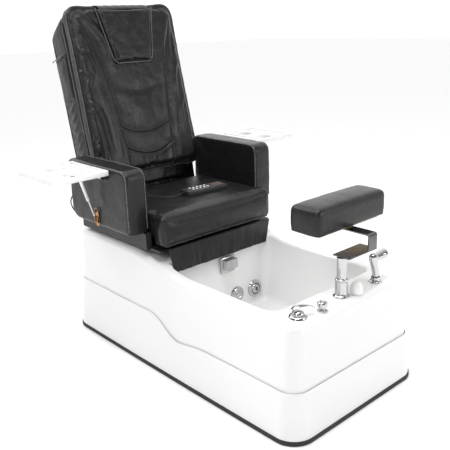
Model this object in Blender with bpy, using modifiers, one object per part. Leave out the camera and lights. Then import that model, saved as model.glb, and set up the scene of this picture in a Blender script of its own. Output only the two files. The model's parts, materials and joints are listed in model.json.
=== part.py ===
"""Pedicure spa chair: a moulded foot-basin base, a sliding seat with a reclining massage back,
two fold-down side trays, a telescoping leg rest, basin fittings and a wired hand controller.

Frame: metres, +Z up. The origin is on the floor under the middle of the base. The sitter faces -Y,
so the foot basin is at the -Y end. "right" and "left" are the sitter's own: right is -X.
"""

from math import atan, cos, pi, radians, sin

import bmesh
import bpy
from mathutils import Matrix, Vector

# ---------------------------------------------------------------- driving dimensions
GAP = 0.0004                 # air left between neighbouring pieces

# base
BASE_LENGTH = 1.476
BASE_WIDTH = 0.760
SIDE_BOW = 0.012             # the long sides swell by this share of the width at mid length
CORNER_R = 0.090
TRIM_HEIGHT = 0.018
SKIRT_WALL = 0.0060
SKIRT_LEAN = 0.0835          # inward lean of the skirt, metres per metre of height
SKIRT_FRONT = 0.198          # height of the skirt's top edge along the basin
SKIRT_REAR = 0.254           # and along the seat platform
TUB_INSET = 0.0140           # the tub wall stands this far inside the floor outline
TUB_LEAN = 0.0570
TUB_WALL = 0.0060
TUB_FOOT = 0.0308            # height of the tub's lower edge, on the frame
RIM_HEIGHT = 0.444           # deck round the basin
PLATFORM_HEIGHT = 0.505      # deck under the seat
PLATFORM_START = -0.105      # the deck starts to rise here ...
PLATFORM_END = 0.250         # ... and is level again here
EDGE_R = 0.028
BASIN_HALF_WIDTH = 0.288
BASIN_FRONT = -0.553
BASIN_REAR = 0.055
BASIN_CORNER_R = 0.050
BASIN_LIP_R = 0.014
BASIN_FLOOR = 0.135
BASIN_LEAN = 0.070
BASIN_BOTTOM_R = 0.030
FRAME_HEIGHT = 0.0300

# fittings
COLUMN = Vector((-0.012, -0.636, RIM_HEIGHT))
MIXER = Vector((-0.257, -0.639, RIM_HEIGHT))
KNOB = Vector((-0.160, -0.668, RIM_HEIGHT))
AIR_BUTTON = Vector((0.042, -0.666, RIM_HEIGHT))
SHOWER = Vector((0.190, -0.645, RIM_HEIGHT))
JET_X, SUCTION_X, JET_Z = 0.198, 0.085, 0.209
JET_R = 0.042
SPOUT_X, SPOUT_WIDTH, SPOUT_TOP = 0.034, 0.082, 0.415

# leg rest
POST_R = 0.0190
SLEEVE_R = 0.0230
SLEEVE_TOP = 0.508
PLATE_Z = 0.598
STRIP = 0.0050               # thickness of the bent steel strip
STRIP_X = 0.118
STRIP_HALF = 0.026
STRIP_FRONT = -0.677
PAD_CENTRE = Vector((0.120, -0.514, 0.726))
PAD_SIZE = Vector((0.418, 0.146, 0.104))

# seat
RAIL_X = 0.215
RAIL_TOP = 0.5170
LADDER_TOP = 0.5275
SEAT_HALF_WIDTH = 0.3110
SEAT_FRONT, SEAT_BACK = 0.036, 0.535
SEAT_BOTTOM, SEAT_TOP = 0.5350, 0.680
APRON_BOTTOM = 0.425
ARM_INNER, ARM_OUTER = 0.3145, 0.4160
ARM_FRONT, ARM_BACK = 0.137, 0.597
ARM_BOTTOM, ARM_TOP = 0.592, 0.868

# back, measured in its own frame: Y across its thickness, Z up along it, zero at the pivot
PIVOT = Vector((0.0, 0.612, 0.600))
BACK_TILT = radians(12.9)
CUSHION_LOW, CUSHION_HIGH = 0.129, 0.905
CUSHION_FACE, CUSHION_REAR = -0.128, -0.056
CUSHION_HALF_LOW, CUSHION_HALF_HIGH = 0.300, 0.288
ROLL_FRONT, ROLL_REAR = -0.0555, -0.0010
SHELL_HALF_WIDTH = 0.270
SHELL_DEPTH = 0.130
SHELL_LOW, SHELL_HIGH = 0.060, 0.895
SHELL_WALL = 0.0080
FLAP_LOW, FLAP_HIGH = 0.640, 0.893
FLAP_HALF_LOW, FLAP_HALF_HIGH = 0.106, 0.160
FLAP_THICK = 0.026

# side trays
TRAY_INNER, TRAY_OUTER = 0.4250, 0.6800
TRAY_FRONT, TRAY_REAR = 0.237, 0.527
TRAY_TOP, TRAY_THICK = 0.865, 0.024
TRAY_AXIS = (0.430, 0.826)   # X and Z of the fold line
LUG_Y = (0.300, 0.464)
CUP_X, CUP_R, CUP_Y = 0.548, 0.043, (0.313, 0.451)
STAY_Y = 0.372
STAY_PIVOT = (0.490, 0.832)
STAY_LENGTH = 0.196
STAY_LEAN = radians(17.0)

# hand controller and its leads
REMOTE_CENTRE = Vector((0.062, 0.220, 0.6930))
REMOTE_SIZE = Vector((0.220, 0.070, 0.0250))
REMOTE_TURN = radians(-4.0)
KEY_SIZE = Vector((0.0110, 0.0080, 0.0050))
CORD_R = 0.0022
CABLE_R = 0.0030

MODEL = bpy.data.collections.new("pedicure_spa_chair")
CUTTERS = bpy.data.collections.new("cutters")


# ---------------------------------------------------------------- small tools
def clear_scene():
    for thing in list(bpy.data.objects):
        bpy.data.objects.remove(thing)
    for group in (MODEL, CUTTERS):
        bpy.context.scene.collection.children.link(group)


def material(name, colour, roughness, metallic=0.0):
    made = bpy.data.materials.new(name)
    made.use_nodes = True
    shader = made.node_tree.nodes["Principled BSDF"]
    shader.inputs["Base Color"].default_value = (*colour, 1.0)
    shader.inputs["Roughness"].default_value = roughness
    shader.inputs["Metallic"].default_value = metallic
    return made


FINISHES = {
    "acrylic": ((0.90, 0.90, 0.89), 0.15, 0.0),
    "leather": ((0.020, 0.020, 0.021), 0.38, 0.0),
    "chrome": ((0.80, 0.81, 0.82), 0.06, 1.0),
    "strip_steel": ((0.16, 0.16, 0.17), 0.28, 1.0),
    "steel": ((0.08, 0.08, 0.08), 0.50, 0.6),
    "tray_plastic": ((0.88, 0.88, 0.87), 0.30, 0.0),
    "black_plastic": ((0.03, 0.03, 0.032), 0.40, 0.0),
    "key_white": ((0.85, 0.83, 0.80), 0.40, 0.0),
    "display": ((0.30, 0.27, 0.27), 0.20, 0.0),
    "rubber": ((0.02, 0.02, 0.02), 0.70, 0.0),
    "brass": ((0.55, 0.33, 0.14), 0.30, 1.0),
    "wood": ((0.50, 0.38, 0.24), 0.60, 0.0),
}


def place(obj, finish, parent=None, group=None):
    """Puts an object in the model, gives it its own material and an optional parent."""
    (group or MODEL).objects.link(obj)
    if finish:
        obj.data.materials.append(material(obj.name + "_" + finish, *FINISHES[finish]))
    if parent:
        obj.parent = parent
        obj.matrix_parent_inverse = Matrix.Identity(4)
    return obj


def axis_empty(name, location, rotation=(0, 0, 0), parent=None):
    empty = bpy.data.objects.new(name, None)
    empty.location = location
    empty.rotation_euler = rotation
    return place(empty, None, parent)


def from_bmesh(name, bm, finish, parent=None, group=None):
    bmesh.ops.recalc_face_normals(bm, faces=bm.faces)
    mesh = bpy.data.meshes.new(name)
    bm.to_mesh(mesh)
    bm.free()
    return place(bpy.data.objects.new(name, mesh), finish, parent, group)


def add_box(bm, low, high):
    low, high = Vector(low), Vector(high)
    centre = Matrix.Translation((low + high) / 2)
    made = bmesh.ops.create_cube(bm, size=1.0)
    bmesh.ops.scale(bm, vec=high - low, verts=made["verts"])
    bmesh.ops.transform(bm, matrix=centre, verts=made["verts"])


def add_rod(bm, start, end, radius, sides=20, end_radius=None):
    start, end = Vector(start), Vector(end)
    run = end - start
    turn = run.to_track_quat("Z", "Y").to_matrix().to_4x4()
    bmesh.ops.create_cone(bm, cap_ends=True, segments=sides, radius1=radius,
                          radius2=radius if end_radius is None else end_radius, depth=run.length,
                          matrix=Matrix.Translation((start + end) / 2) @ turn)


def sorted_box(xa, y0, xb, y1, z0, z1):
    """Corners of a box whose X limits may come in either order."""
    return (min(xa, xb), y0, z0), (max(xa, xb), y1, z1)


def box(name, low, high, finish, parent=None, bevel=0.0, segments=2, group=None):
    bm = bmesh.new()
    add_box(bm, low, high)
    obj = from_bmesh(name, bm, finish, parent, group)
    if bevel:
        round_edges(obj, bevel, segments)
    return obj


def boxes(name, pairs, finish, parent=None, group=None):
    bm = bmesh.new()
    for low, high in pairs:
        add_box(bm, low, high)
    return from_bmesh(name, bm, finish, parent, group)


def rod(name, start, end, radius, finish, parent=None, sides=20, group=None, end_radius=None):
    bm = bmesh.new()
    add_rod(bm, start, end, radius, sides, end_radius)
    obj = from_bmesh(name, bm, finish, parent, group)
    obj.data.shade_smooth()
    obj.data.set_sharp_from_angle(angle=radians(35))
    return obj


def round_edges(obj, width, segments=2, angle=30):
    bevel = obj.modifiers.new("rounded edges", "BEVEL")
    bevel.width = width
    bevel.segments = segments
    bevel.limit_method = "ANGLE"
    bevel.angle_limit = radians(angle)


def as_cutter(obj):
    obj.hide_render = True
    obj.display_type = "WIRE"
    return obj


def combine(obj, other, operation):
    """Cuts the other object out of this one, or welds it on."""
    as_cutter(other)
    boolean = obj.modifiers.new(operation.lower(), "BOOLEAN")
    boolean.operation = operation
    boolean.object = other
    return obj


def turned(name, profile, finish, location, parent=None, steps=28, rotation=(0, 0, 0)):
    """A turned piece: profile is (radius, height) from the top of the outside downwards, closed on the axis."""
    mesh = bpy.data.meshes.new(name)
    mesh.from_pydata([(r, 0.0, z) for r, z in profile], [(i, i + 1) for i in range(len(profile) - 1)], [])
    obj = place(bpy.data.objects.new(name, mesh), finish, parent)
    obj.location = location
    obj.rotation_euler = rotation
    screw = obj.modifiers.new("turned", "SCREW")
    screw.steps = screw.render_steps = steps
    screw.use_merge_vertices = True
    screw.merge_threshold = 0.00005
    return obj


def loft(name, rings, finish, parent=None, cap=True, wrap=False):
    """Skins a row of closed rings that all have the same number of points."""
    bm = bmesh.new()
    rows = [[bm.verts.new(p) for p in ring] for ring in rings]
    count = len(rings[0])
    pairs = list(zip(rows, rows[1:]))
    if wrap:
        pairs.append((rows[-1], rows[0]))
    for low, high in pairs:
        for i in range(count):
            j = (i + 1) % count
            bm.faces.new((low[i], low[j], high[j], high[i]))
    if cap and not wrap:
        bm.faces.new(rows[0][::-1])
        bm.faces.new(rows[-1])
    obj = from_bmesh(name, bm, finish, parent)
    obj.data.shade_smooth()
    obj.data.set_sharp_from_angle(angle=radians(40))
    return obj


def smooth_route(points, spacing):
    """Evenly spaced points on the smooth curve through a few hand-placed ones."""
    ends = [points[0] * 2 - points[1]] + list(points) + [points[-1] * 2 - points[-2]]
    fine = []
    for a, b, c, d in zip(ends, ends[1:], ends[2:], ends[3:]):
        for k in range(40):
            t = k / 40
            fine.append(0.5 * (2 * b + (c - a) * t + (2 * a - 5 * b + 4 * c - d) * t * t
                               + (3 * b - a - 3 * c + d) * t ** 3))
    fine.append(points[-1])
    length = sum((q - p).length for p, q in zip(fine, fine[1:]))
    count = max(2, round(length / spacing))
    wanted, run, out = length / count, 0.0, [fine[0]]
    for p, q in zip(fine, fine[1:]):
        run += (q - p).length
        if run >= wanted * len(out) and len(out) < count:
            out.append(q)
    out.append(fine[-1])
    return out


def tube(name, points, radius, finish, parent=None, resolution=2, spacing=None):
    curve = bpy.data.curves.new(name, "CURVE")
    curve.dimensions = "3D"
    curve.bevel_depth = radius
    curve.bevel_resolution = resolution
    curve.use_fill_caps = True
    route = smooth_route([Vector(p) for p in points], spacing or radius * 5)
    line = curve.splines.new("POLY")
    line.points.add(len(route) - 1)
    for point, place_at in zip(line.points, route):
        point.co = (*place_at, 1.0)
    return place(bpy.data.objects.new(name, curve), finish, parent)


def flat_shape(name, outlines, thickness, finish, parent=None, location=(0, 0, 0), rotation=(0, 0, 0)):
    """A flat outline, with holes if more loops are given, extruded to a thickness about its own plane."""
    curve = bpy.data.curves.new(name, "CURVE")
    curve.dimensions = "2D"
    curve.fill_mode = "BOTH"
    curve.extrude = thickness / 2
    for loop in outlines:
        line = curve.splines.new("POLY")
        line.points.add(len(loop) - 1)
        line.use_cyclic_u = True
        for point, (x, y) in zip(line.points, loop):
            point.co = (x, y, 0.0, 1.0)
    obj = place(bpy.data.objects.new(name, curve), finish, parent)
    obj.location = location
    obj.rotation_euler = rotation
    return obj


def rounded_loop(x0, x1, y0, y1, radius, steps=5):
    points = []
    for cx, cy, start in ((x1 - radius, y1 - radius, 0), (x0 + radius, y1 - radius, 90),
                          (x0 + radius, y0 + radius, 180), (x1 - radius, y0 + radius, 270)):
        for k in range(steps + 1):
            a = radians(start + 90 * k / steps)
            points.append((cx + radius * cos(a), cy + radius * sin(a)))
    return points


def mix(a, b, t):
    return a + (b - a) * t


def ease(t):
    t = min(1.0, max(0.0, t))
    return t * t * (3 - 2 * t)


# ---------------------------------------------------------------- base outlines
def half_outline(inset, half_width, front, rear, radius, side_split):
    """Right half of a rounded outline, from the middle of the front edge to the middle of the rear edge.

    side_split is where the long side changes from the stretch beside the basin to the stretch behind it.
    """
    r = max(radius - inset, 0.004)
    x, y0, y1 = half_width - inset, front + inset, rear - inset
    points = [(mix(0, x - r, k / 4), y0) for k in range(4)]
    points += [(x - r + r * sin(a), y0 + r - r * cos(a)) for a in (radians(90 * k / 6) for k in range(6))]
    points += [(x, mix(y0 + r, side_split, k / 8)) for k in range(8)]
    if rear - side_split > radius * 2:
        points += [(x, mix(side_split, y1 - r, k / 9)) for k in range(9)]
        corner, back = 6, 5
    else:
        corner, back = 10, 10
        side_split = y1 - r
    turns = [radians(90 * k / corner) for k in range(corner)]
    points += [(x - r + r * cos(a), y1 - r + r * sin(a)) for a in turns]
    points += [(mix(x - r, 0, k / back), y1) for k in range(back)]
    points.append((0.0, y1))
    return points


def whole(half):
    return half + [(-x, y) for x, y in half[-2:0:-1]]


def base_loop(inset):
    half = BASE_LENGTH / 2
    points = whole(half_outline(inset, BASE_WIDTH / 2, -half, half, CORNER_R, BASIN_REAR - BASIN_CORNER_R))
    return [(x * (1 + SIDE_BOW * (1 - (y / half) ** 2)), y) for x, y in points]


def basin_loop(inset):
    return whole(half_outline(inset, BASIN_HALF_WIDTH, BASIN_FRONT, BASIN_REAR, BASIN_CORNER_R,
                              BASIN_REAR - BASIN_CORNER_R))


def deck_height(y):
    rise = ease((y - PLATFORM_START) / (PLATFORM_END - PLATFORM_START))
    return mix(RIM_HEIGHT, PLATFORM_HEIGHT, rise)


def skirt_height(y):
    """The skirt is high under the seat, dips in a wave where the platform ends, and is low round the basin."""
    drop = ease((0.105 - y) / 0.185)
    recover = ease((-0.070 - y) / 0.170)
    return SKIRT_REAR - drop * (SKIRT_REAR - SKIRT_FRONT + 0.020) + recover * 0.020


def skirt_inset(z):
    return SKIRT_LEAN * z


def tub_inset(z):
    return TUB_INSET + TUB_LEAN * z


# ---------------------------------------------------------------- base
def make_tub():
    rings = []
    for z in (TUB_FOOT, 0.215, 0.330):
        rings.append([(x, y, z) for x, y in base_loop(tub_inset(z))])
    rim_inset = tub_inset(RIM_HEIGHT)
    for k in range(5):
        a = radians(90 * k / 4)
        loop = base_loop(rim_inset + EDGE_R * (1 - cos(a)))
        rings.append([(x, y, deck_height(y) - EDGE_R * (1 - sin(a))) for x, y in loop])
    outer = base_loop(rim_inset + EDGE_R)
    lip = basin_loop(-BASIN_LIP_R)
    for s in (0.15, 0.32, 0.50, 0.68, 0.85, 1.0):
        ring = []
        for (xo, yo), (xi, yi) in zip(outer, lip):
            x, y = mix(xo, xi, s), mix(yo, yi, s)
            ring.append((x, y, deck_height(y)))
        rings.append(ring)
    for k in (1, 2, 3):
        a = radians(90 * k / 3)
        rings.append([(x, y, deck_height(y) - BASIN_LIP_R * (1 - cos(a)))
                      for x, y in basin_loop(-BASIN_LIP_R * (1 - sin(a)))])
    top = RIM_HEIGHT - BASIN_LIP_R
    for z in (0.36, 0.26, BASIN_FLOOR + BASIN_BOTTOM_R):
        rings.append([(x, y, z) for x, y in basin_loop(BASIN_LEAN * (top - z))])
    low = BASIN_LEAN * (top - BASIN_FLOOR - BASIN_BOTTOM_R)
    for k in (1, 2, 3):
        a = radians(90 * k / 3)
        rings.append([(x, y, BASIN_FLOOR + BASIN_BOTTOM_R * (1 - sin(a)))
                      for x, y in basin_loop(low + BASIN_BOTTOM_R * (1 - cos(a)))])
    bm = bmesh.new()
    rows = [[bm.verts.new(p) for p in ring] for ring in rings]
    count = len(rows[0])
    for low_row, high_row in zip(rows, rows[1:]):
        for i in range(count):
            j = (i + 1) % count
            bm.faces.new((low_row[i], low_row[j], high_row[j], high_row[i]))
    bm.faces.new(rows[-1])
    mesh = bpy.data.meshes.new("tub_shell")
    bm.to_mesh(mesh)
    bm.free()
    tub = place(bpy.data.objects.new("tub_shell", mesh), "acrylic")
    tub.data.shade_smooth()
    solid = tub.modifiers.new("moulded wall", "SOLIDIFY")
    solid.thickness = TUB_WALL
    solid.offset = -1
    return tub


def section_ring(name, section, finish):
    """A band round the base: section gives its (inset, height) corner points at each Y."""
    floor_line = base_loop(0)
    rings = []
    for k in range(len(section(0.0))):
        ring = []
        for i, (_, y) in enumerate(floor_line):
            inset, z = section(y)[k]
            ring.append((*base_loop(inset)[i], z))
        rings.append(ring)
    return loft(name, rings, finish, wrap=True)


def make_base():
    make_tub()
    wall = SKIRT_WALL

    def skirt(y):
        top = skirt_height(y)
        t = skirt_inset(top)
        foot = TRIM_HEIGHT + GAP
        return [(skirt_inset(foot), foot), (t, top - 0.006), (t + 0.0015, top - 0.0015),
                (t + wall * 0.6, top), (t + wall, top - 0.002), (skirt_inset(foot) + wall, foot)]

    section_ring("skirt_casing", skirt, "acrylic")
    section_ring("floor_trim", lambda y: [(0.0, 0.0), (-0.0025, 0.004), (-0.0025, TRIM_HEIGHT - 0.003),
                                          (0.0, TRIM_HEIGHT), (0.007, TRIM_HEIGHT), (0.007, 0.0)], "rubber")
    outer = rounded_loop(-0.352, 0.352, -0.700, 0.700, 0.075)
    bay_y = ((-0.650, -0.400), (-0.340, -0.040), (0.040, 0.340), (0.400, 0.650))
    bays = [rounded_loop(-0.302, 0.302, a, b, 0.02, 2) for a, b in bay_y]
    flat_shape("base_frame", [outer] + bays, FRAME_HEIGHT, "steel", location=(0, 0, FRAME_HEIGHT / 2))
    turned("drain_strainer", [(0.0, 0.0075), (0.022, 0.0070), (0.036, 0.0040), (0.040, 0.0), (0.0, 0.0)],
           "chrome", (0.0, -0.250, BASIN_FLOOR + GAP))
    pump = rod("jet_pump", (-0.06, 0.260, 0.120), (-0.06, 0.420, 0.120), 0.060, "black_plastic", sides=24)
    bm = bmesh.new()
    add_rod(bm, (-0.06, 0.215, 0.120), (-0.06, 0.265, 0.120), 0.078, 24)
    combine(pump, from_bmesh("pump_volute", bm, None, group=CUTTERS), "UNION")
    combine(pump, box("pump_foot", (-0.13, 0.343, FRAME_HEIGHT + 0.0006), (0.01, 0.397, 0.090), None,
                      group=CUTTERS), "UNION")
    tube("pump_hose", [(-0.060, 0.2140, 0.120), (-0.060, 0.190, 0.120), (-0.030, 0.150, 0.135), (0.050, 0.125, 0.170),
                       (0.130, 0.112, 0.195), (JET_X, 0.088, JET_Z), (JET_X, 0.055, JET_Z)], 0.015, "black_plastic",
         spacing=0.026)


def basin_wall(z):
    """Y of the basin's rear wall surface at a height."""
    return BASIN_REAR - BASIN_LEAN * (RIM_HEIGHT - BASIN_LIP_R - z)


def make_basin_fittings():
    square_to_wall = (radians(90) - atan(BASIN_LEAN), 0, 0)
    jet_at = (JET_X, basin_wall(JET_Z) - 0.0008, JET_Z)
    turned("jet_ring", [(0.026, 0.012), (0.034, 0.012), (JET_R, 0.006), (JET_R, 0.0), (0.026, 0.0), (0.026, 0.012)],
           "chrome", jet_at, steps=36, rotation=square_to_wall)
    nozzle = [(0.0, 0.004), (0.008, 0.004), (0.008, 0.017), (0.015, 0.0175), (0.0215, 0.0135), (0.0245, 0.008),
              (0.0245, 0.0), (0.0, 0.0)]
    turned("jet_nozzle", nozzle, "black_plastic", jet_at, steps=28, rotation=square_to_wall)
    suction_at = (SUCTION_X, basin_wall(JET_Z) - 0.0008, JET_Z)
    turned("suction_cover", [(0.0, 0.013), (0.020, 0.012), (0.034, 0.0075), (JET_R - 0.001, 0.003),
                             (JET_R - 0.001, 0.0), (0.0, 0.0)], "chrome", suction_at, steps=36,
           rotation=square_to_wall)
    w, top = SPOUT_WIDTH / 2, SPOUT_TOP
    wall_y = basin_wall(top) - 0.006
    spout = box("wall_spout", (SPOUT_X - w, wall_y - 0.012, top - 0.078), (SPOUT_X + w, wall_y, top), "chrome",
                bevel=0.003)
    x0, x1 = SPOUT_X - w, SPOUT_X + w
    combine(spout, box("spout_hood", (x0 + 0.008, wall_y - 0.040, top - 0.052),
                       (x1 - 0.008, wall_y - 0.010, top - 0.008), None, group=CUTTERS), "UNION")
    combine(spout, box("spout_mouth", (x0 + 0.013, wall_y - 0.037, top - 0.060),
                       (x1 - 0.013, wall_y - 0.016, top - 0.014), None, group=CUTTERS), "DIFFERENCE")


def make_deck_fittings():
    z = GAP
    turned("mixer_base", [(0.0, 0.010), (0.022, 0.010), (0.031, 0.006), (0.034, 0.0), (0.0, 0.0)], "chrome",
           MIXER + Vector((0, 0, z)))
    turned("mixer_hub", [(0.0, 0.016), (0.010, 0.0155), (0.019, 0.011), (0.023, 0.004), (0.023, 0.0),
                         (0.0, 0.0)], "chrome", MIXER + Vector((0, 0, 0.0108)))
    make_lever()
    turned("drain_knob", [(0.0, 0.0365), (0.012, 0.036), (0.0175, 0.033), (0.019, 0.028), (0.018, 0.015),
                          (0.010, 0.010), (0.012, 0.004), (0.019, 0.003), (0.019, 0.0), (0.0, 0.0)], "chrome",
           KNOB + Vector((0, 0, z)), steps=24)
    dome = [(0.0, 0.052)]
    dome += [(0.023 * sin(a), 0.024 + 0.028 * cos(a)) for a in (radians(18 * k) for k in (1, 2, 3, 4))]
    turned("air_button", dome + [(0.0235, 0.016), (0.0230, 0.004), (0.0, 0.004)], "tray_plastic",
           AIR_BUTTON + Vector((0, 0, z)), steps=24)
    holder = [(0.0, 0.006), (0.0145, 0.006), (0.0165, 0.020), (0.0185, 0.020), (0.0185, 0.006), (0.025, 0.004),
              (0.027, 0.0), (0.0, 0.0)]
    turned("shower_holder", holder, "chrome", SHOWER + Vector((0, 0, z)), steps=24)
    make_hand_shower()


def make_lever():
    """A blade that leaves the hub's crown and arches forward and to the left, wider at its tip."""
    heading = Vector((cos(radians(-20)), sin(radians(-20)), 0.0))
    across = Vector((-heading.y, heading.x, 0.0))
    base = MIXER + Vector((0, 0, 0.0275))
    sections = []
    for run, rise, half, thick in ((-0.024, 0.000, 0.010, 0.004), (-0.018, 0.009, 0.012, 0.006),
                                   (0.000, 0.014, 0.013, 0.007), (0.025, 0.0125, 0.013, 0.006),
                                   (0.050, 0.006, 0.0125, 0.005), (0.068, -0.003, 0.010, 0.004)):
        centre = base + heading * run + Vector((0, 0, rise))
        sections.append([centre + across * half * cos(a) + Vector((0, 0, thick * 0.5 * sin(a)))
                         for a in (2 * pi * k / 12 for k in range(12))])
    loft("mixer_lever", [[tuple(p) for p in ring] for ring in sections], "chrome")


def make_hand_shower():
    """Handle rises out of the holder and ends in a flat head that points to the left."""
    x, y = SHOWER.x, SHOWER.y
    foot = SHOWER.z + 0.0075
    rings = []
    for up, shift, rx, ry in ((0.0, 0.0, 0.0125, 0.0125), (0.022, 0.0, 0.0135, 0.0135),
                              (0.050, -0.006, 0.0160, 0.0150), (0.080, -0.016, 0.0200, 0.0170),
                              (0.100, -0.020, 0.0210, 0.0170), (0.112, -0.018, 0.0160, 0.0130)):
        rings.append([(x + shift + rx * cos(a), y + ry * sin(a), foot + up)
                      for a in (2 * pi * k / 20 for k in range(20))])
    body = loft("hand_shower", rings, "chrome")
    bm = bmesh.new()
    add_rod(bm, (x - 0.020, y, foot + 0.094), (x + 0.056, y, foot + 0.112), 0.0155, 20, 0.0210)
    combine(body, from_bmesh("shower_head", bm, None, group=CUTTERS), "UNION")
    return body


def make_leg_rest():
    sleeve = SLEEVE_TOP - RIM_HEIGHT
    bore = POST_R + 0.0006
    profile = [(bore, sleeve + 0.008), (SLEEVE_R + 0.001, sleeve + 0.008), (SLEEVE_R + 0.003, sleeve + 0.005),
               (SLEEVE_R + 0.003, sleeve), (SLEEVE_R, sleeve - 0.001), (SLEEVE_R, 0.012), (0.028, 0.006),
               (0.031, 0.004), (0.031, 0.0), (bore, 0.0), (bore, sleeve + 0.008)]
    turned("footrest_post", profile, "chrome", COLUMN + Vector((0, 0, GAP)), steps=32)
    rod("post_tube", COLUMN + Vector((0, 0, 0.006)), (COLUMN.x, COLUMN.y, PLATE_Z - 0.0006), POST_R, "chrome",
        sides=32)
    plate_x0, plate_x1 = -0.022, STRIP_X + STRIP_HALF
    bar_z = PAD_CENTRE.z - PAD_SIZE.z / 2 - 0.0090
    bracket = box("footrest_bracket", (plate_x0, STRIP_FRONT, PLATE_Z), (plate_x1, -0.600, PLATE_Z + STRIP),
                  "strip_steel")
    side0, side1 = STRIP_X - STRIP_HALF, STRIP_X + STRIP_HALF
    bend = 0.010
    riser = [(STRIP_FRONT, PLATE_Z + 0.001), (STRIP_FRONT, bar_z - bend)]
    turns = [radians(30 * k) for k in (1, 2, 3)]
    riser += [(STRIP_FRONT + bend * (1 - cos(a)), bar_z - bend + bend * sin(a)) for a in turns]
    riser += [(-0.450, bar_z), (-0.450, bar_z - STRIP), (STRIP_FRONT + bend, bar_z - STRIP)]
    inner = bend - STRIP
    riser += [(STRIP_FRONT + STRIP + inner * (1 - sin(a)), bar_z - bend + inner * cos(a)) for a in turns]
    riser += [(STRIP_FRONT + STRIP, PLATE_Z + 0.001)]
    rings = [[(x, y, z) for y, z in riser] for x in (side0, side1)]
    strip = loft("bent_strip", rings, None)
    MODEL.objects.unlink(strip)
    CUTTERS.objects.link(strip)
    combine(bracket, strip, "UNION")
    low = PAD_CENTRE.z - PAD_SIZE.z / 2
    half = PAD_SIZE / 2
    box("footrest_board", (PAD_CENTRE.x - half.x + 0.03, PAD_CENTRE.y - half.y + 0.02, low - 0.0085),
        (PAD_CENTRE.x + half.x - 0.03, PAD_CENTRE.y + half.y - 0.02, low - GAP), "wood", bevel=0.002)
    box("footrest_pad", PAD_CENTRE - half, PAD_CENTRE + half, "leather", bevel=0.022, segments=4)


# ---------------------------------------------------------------- seat
def make_seat():
    rail_low = PLATFORM_HEIGHT + 0.0006
    rails = box("slide_rails", (-RAIL_X - 0.020, 0.300, rail_low), (RAIL_X + 0.020, 0.340, rail_low + 0.004), "steel")
    tracks = boxes("rail_tracks", [sorted_box(s * (RAIL_X - 0.0205), 0.075, s * (RAIL_X + 0.0205), 0.560,
                                              rail_low - 0.0001, RAIL_TOP) for s in (-1, 1)], None, group=CUTTERS)
    combine(rails, tracks, "UNION")
    make_seat_frame()
    lower = SEAT_BOTTOM + 0.018
    cushion = box("seat_cushion", (-SEAT_HALF_WIDTH, SEAT_FRONT, lower), (SEAT_HALF_WIDTH, SEAT_BACK, SEAT_TOP),
                  "leather", bevel=0.024, segments=4)
    combine(cushion, box("front_roll", (-SEAT_HALF_WIDTH - 0.006, SEAT_FRONT - 0.004, SEAT_BOTTOM),
                         (SEAT_HALF_WIDTH + 0.006, ARM_FRONT - 0.012, SEAT_TOP - 0.004), None, bevel=0.022, segments=4,
                         group=CUTTERS), "UNION")
    make_apron()
    make_arms()
    actuator_z = LADDER_TOP + 0.0124
    body = box("actuator_body", (-0.020, 0.150, LADDER_TOP + GAP), (0.020, 0.400, LADDER_TOP + 0.0244),
               "black_plastic", bevel=0.003)
    combine(body, rod("actuator_bore", (0.0, 0.295, actuator_z), (0.0, 0.410, actuator_z), 0.0066, None, sides=20,
                      group=CUTTERS), "DIFFERENCE")
    rod("actuator_rod", (0.0, 0.345, actuator_z), (0.0, 0.580, actuator_z), 0.0060, "chrome", sides=16)


def make_seat_frame():
    """Ladder plate on the slides, arm beams, cushion beams, and uprights that carry the back's pivot pins."""
    base = RAIL_TOP + GAP
    frame = box("seat_frame", (-0.322, 0.062, base), (0.322, 0.640, LADDER_TOP), "steel")
    windows = boxes("frame_windows", [((a, 0.110, base - 0.01), (b, 0.510, LADDER_TOP + 0.01))
                                      for a, b in ((-0.190, -0.030), (0.030, 0.190))], None, group=CUTTERS)
    combine(frame, windows, "DIFFERENCE")
    low = base + 0.003
    cushion_beams = [sorted_box(s * 0.205, 0.132, s * 0.245, 0.530, low, SEAT_BOTTOM + 0.0172) for s in (-1, 1)]
    arm_beams = [sorted_box(s * 0.3122, 0.130, s * 0.3400, 0.640, low + 0.001, ARM_BOTTOM - 0.0006) for s in (-1, 1)]
    uprights = [sorted_box(s * 0.284, PIVOT.y - 0.022, s * 0.298, PIVOT.y + 0.022, low + 0.004, PIVOT.z + 0.024)
                for s in (-1, 1)]
    for name, pairs in (("cushion_beams", cushion_beams), ("arm_beams", arm_beams), ("uprights", uprights)):
        combine(frame, boxes(name, pairs, None, group=CUTTERS), "UNION")
    pins = bmesh.new()
    for s in (-1, 1):
        add_rod(pins, (s * 0.2655, PIVOT.y, PIVOT.z), (s * 0.290, PIVOT.y, PIVOT.z), 0.0080, 20)
    combine(frame, from_bmesh("pivot_pins", pins, None, group=CUTTERS), "UNION")
    return frame


def make_apron():
    """A short leather curtain under the front of the seat, narrower at its hem so that it clears the basin."""
    top, low = SEAT_BOTTOM - 0.0006, APRON_BOTTOM
    outline = [(-0.302, top), (0.302, top), (0.268, low), (-0.268, low)]
    rings = [[(x, y, z) for x, z in outline] for y in (SEAT_FRONT - 0.003, SEAT_FRONT)]
    loft("seat_apron", rings, "leather")


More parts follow.
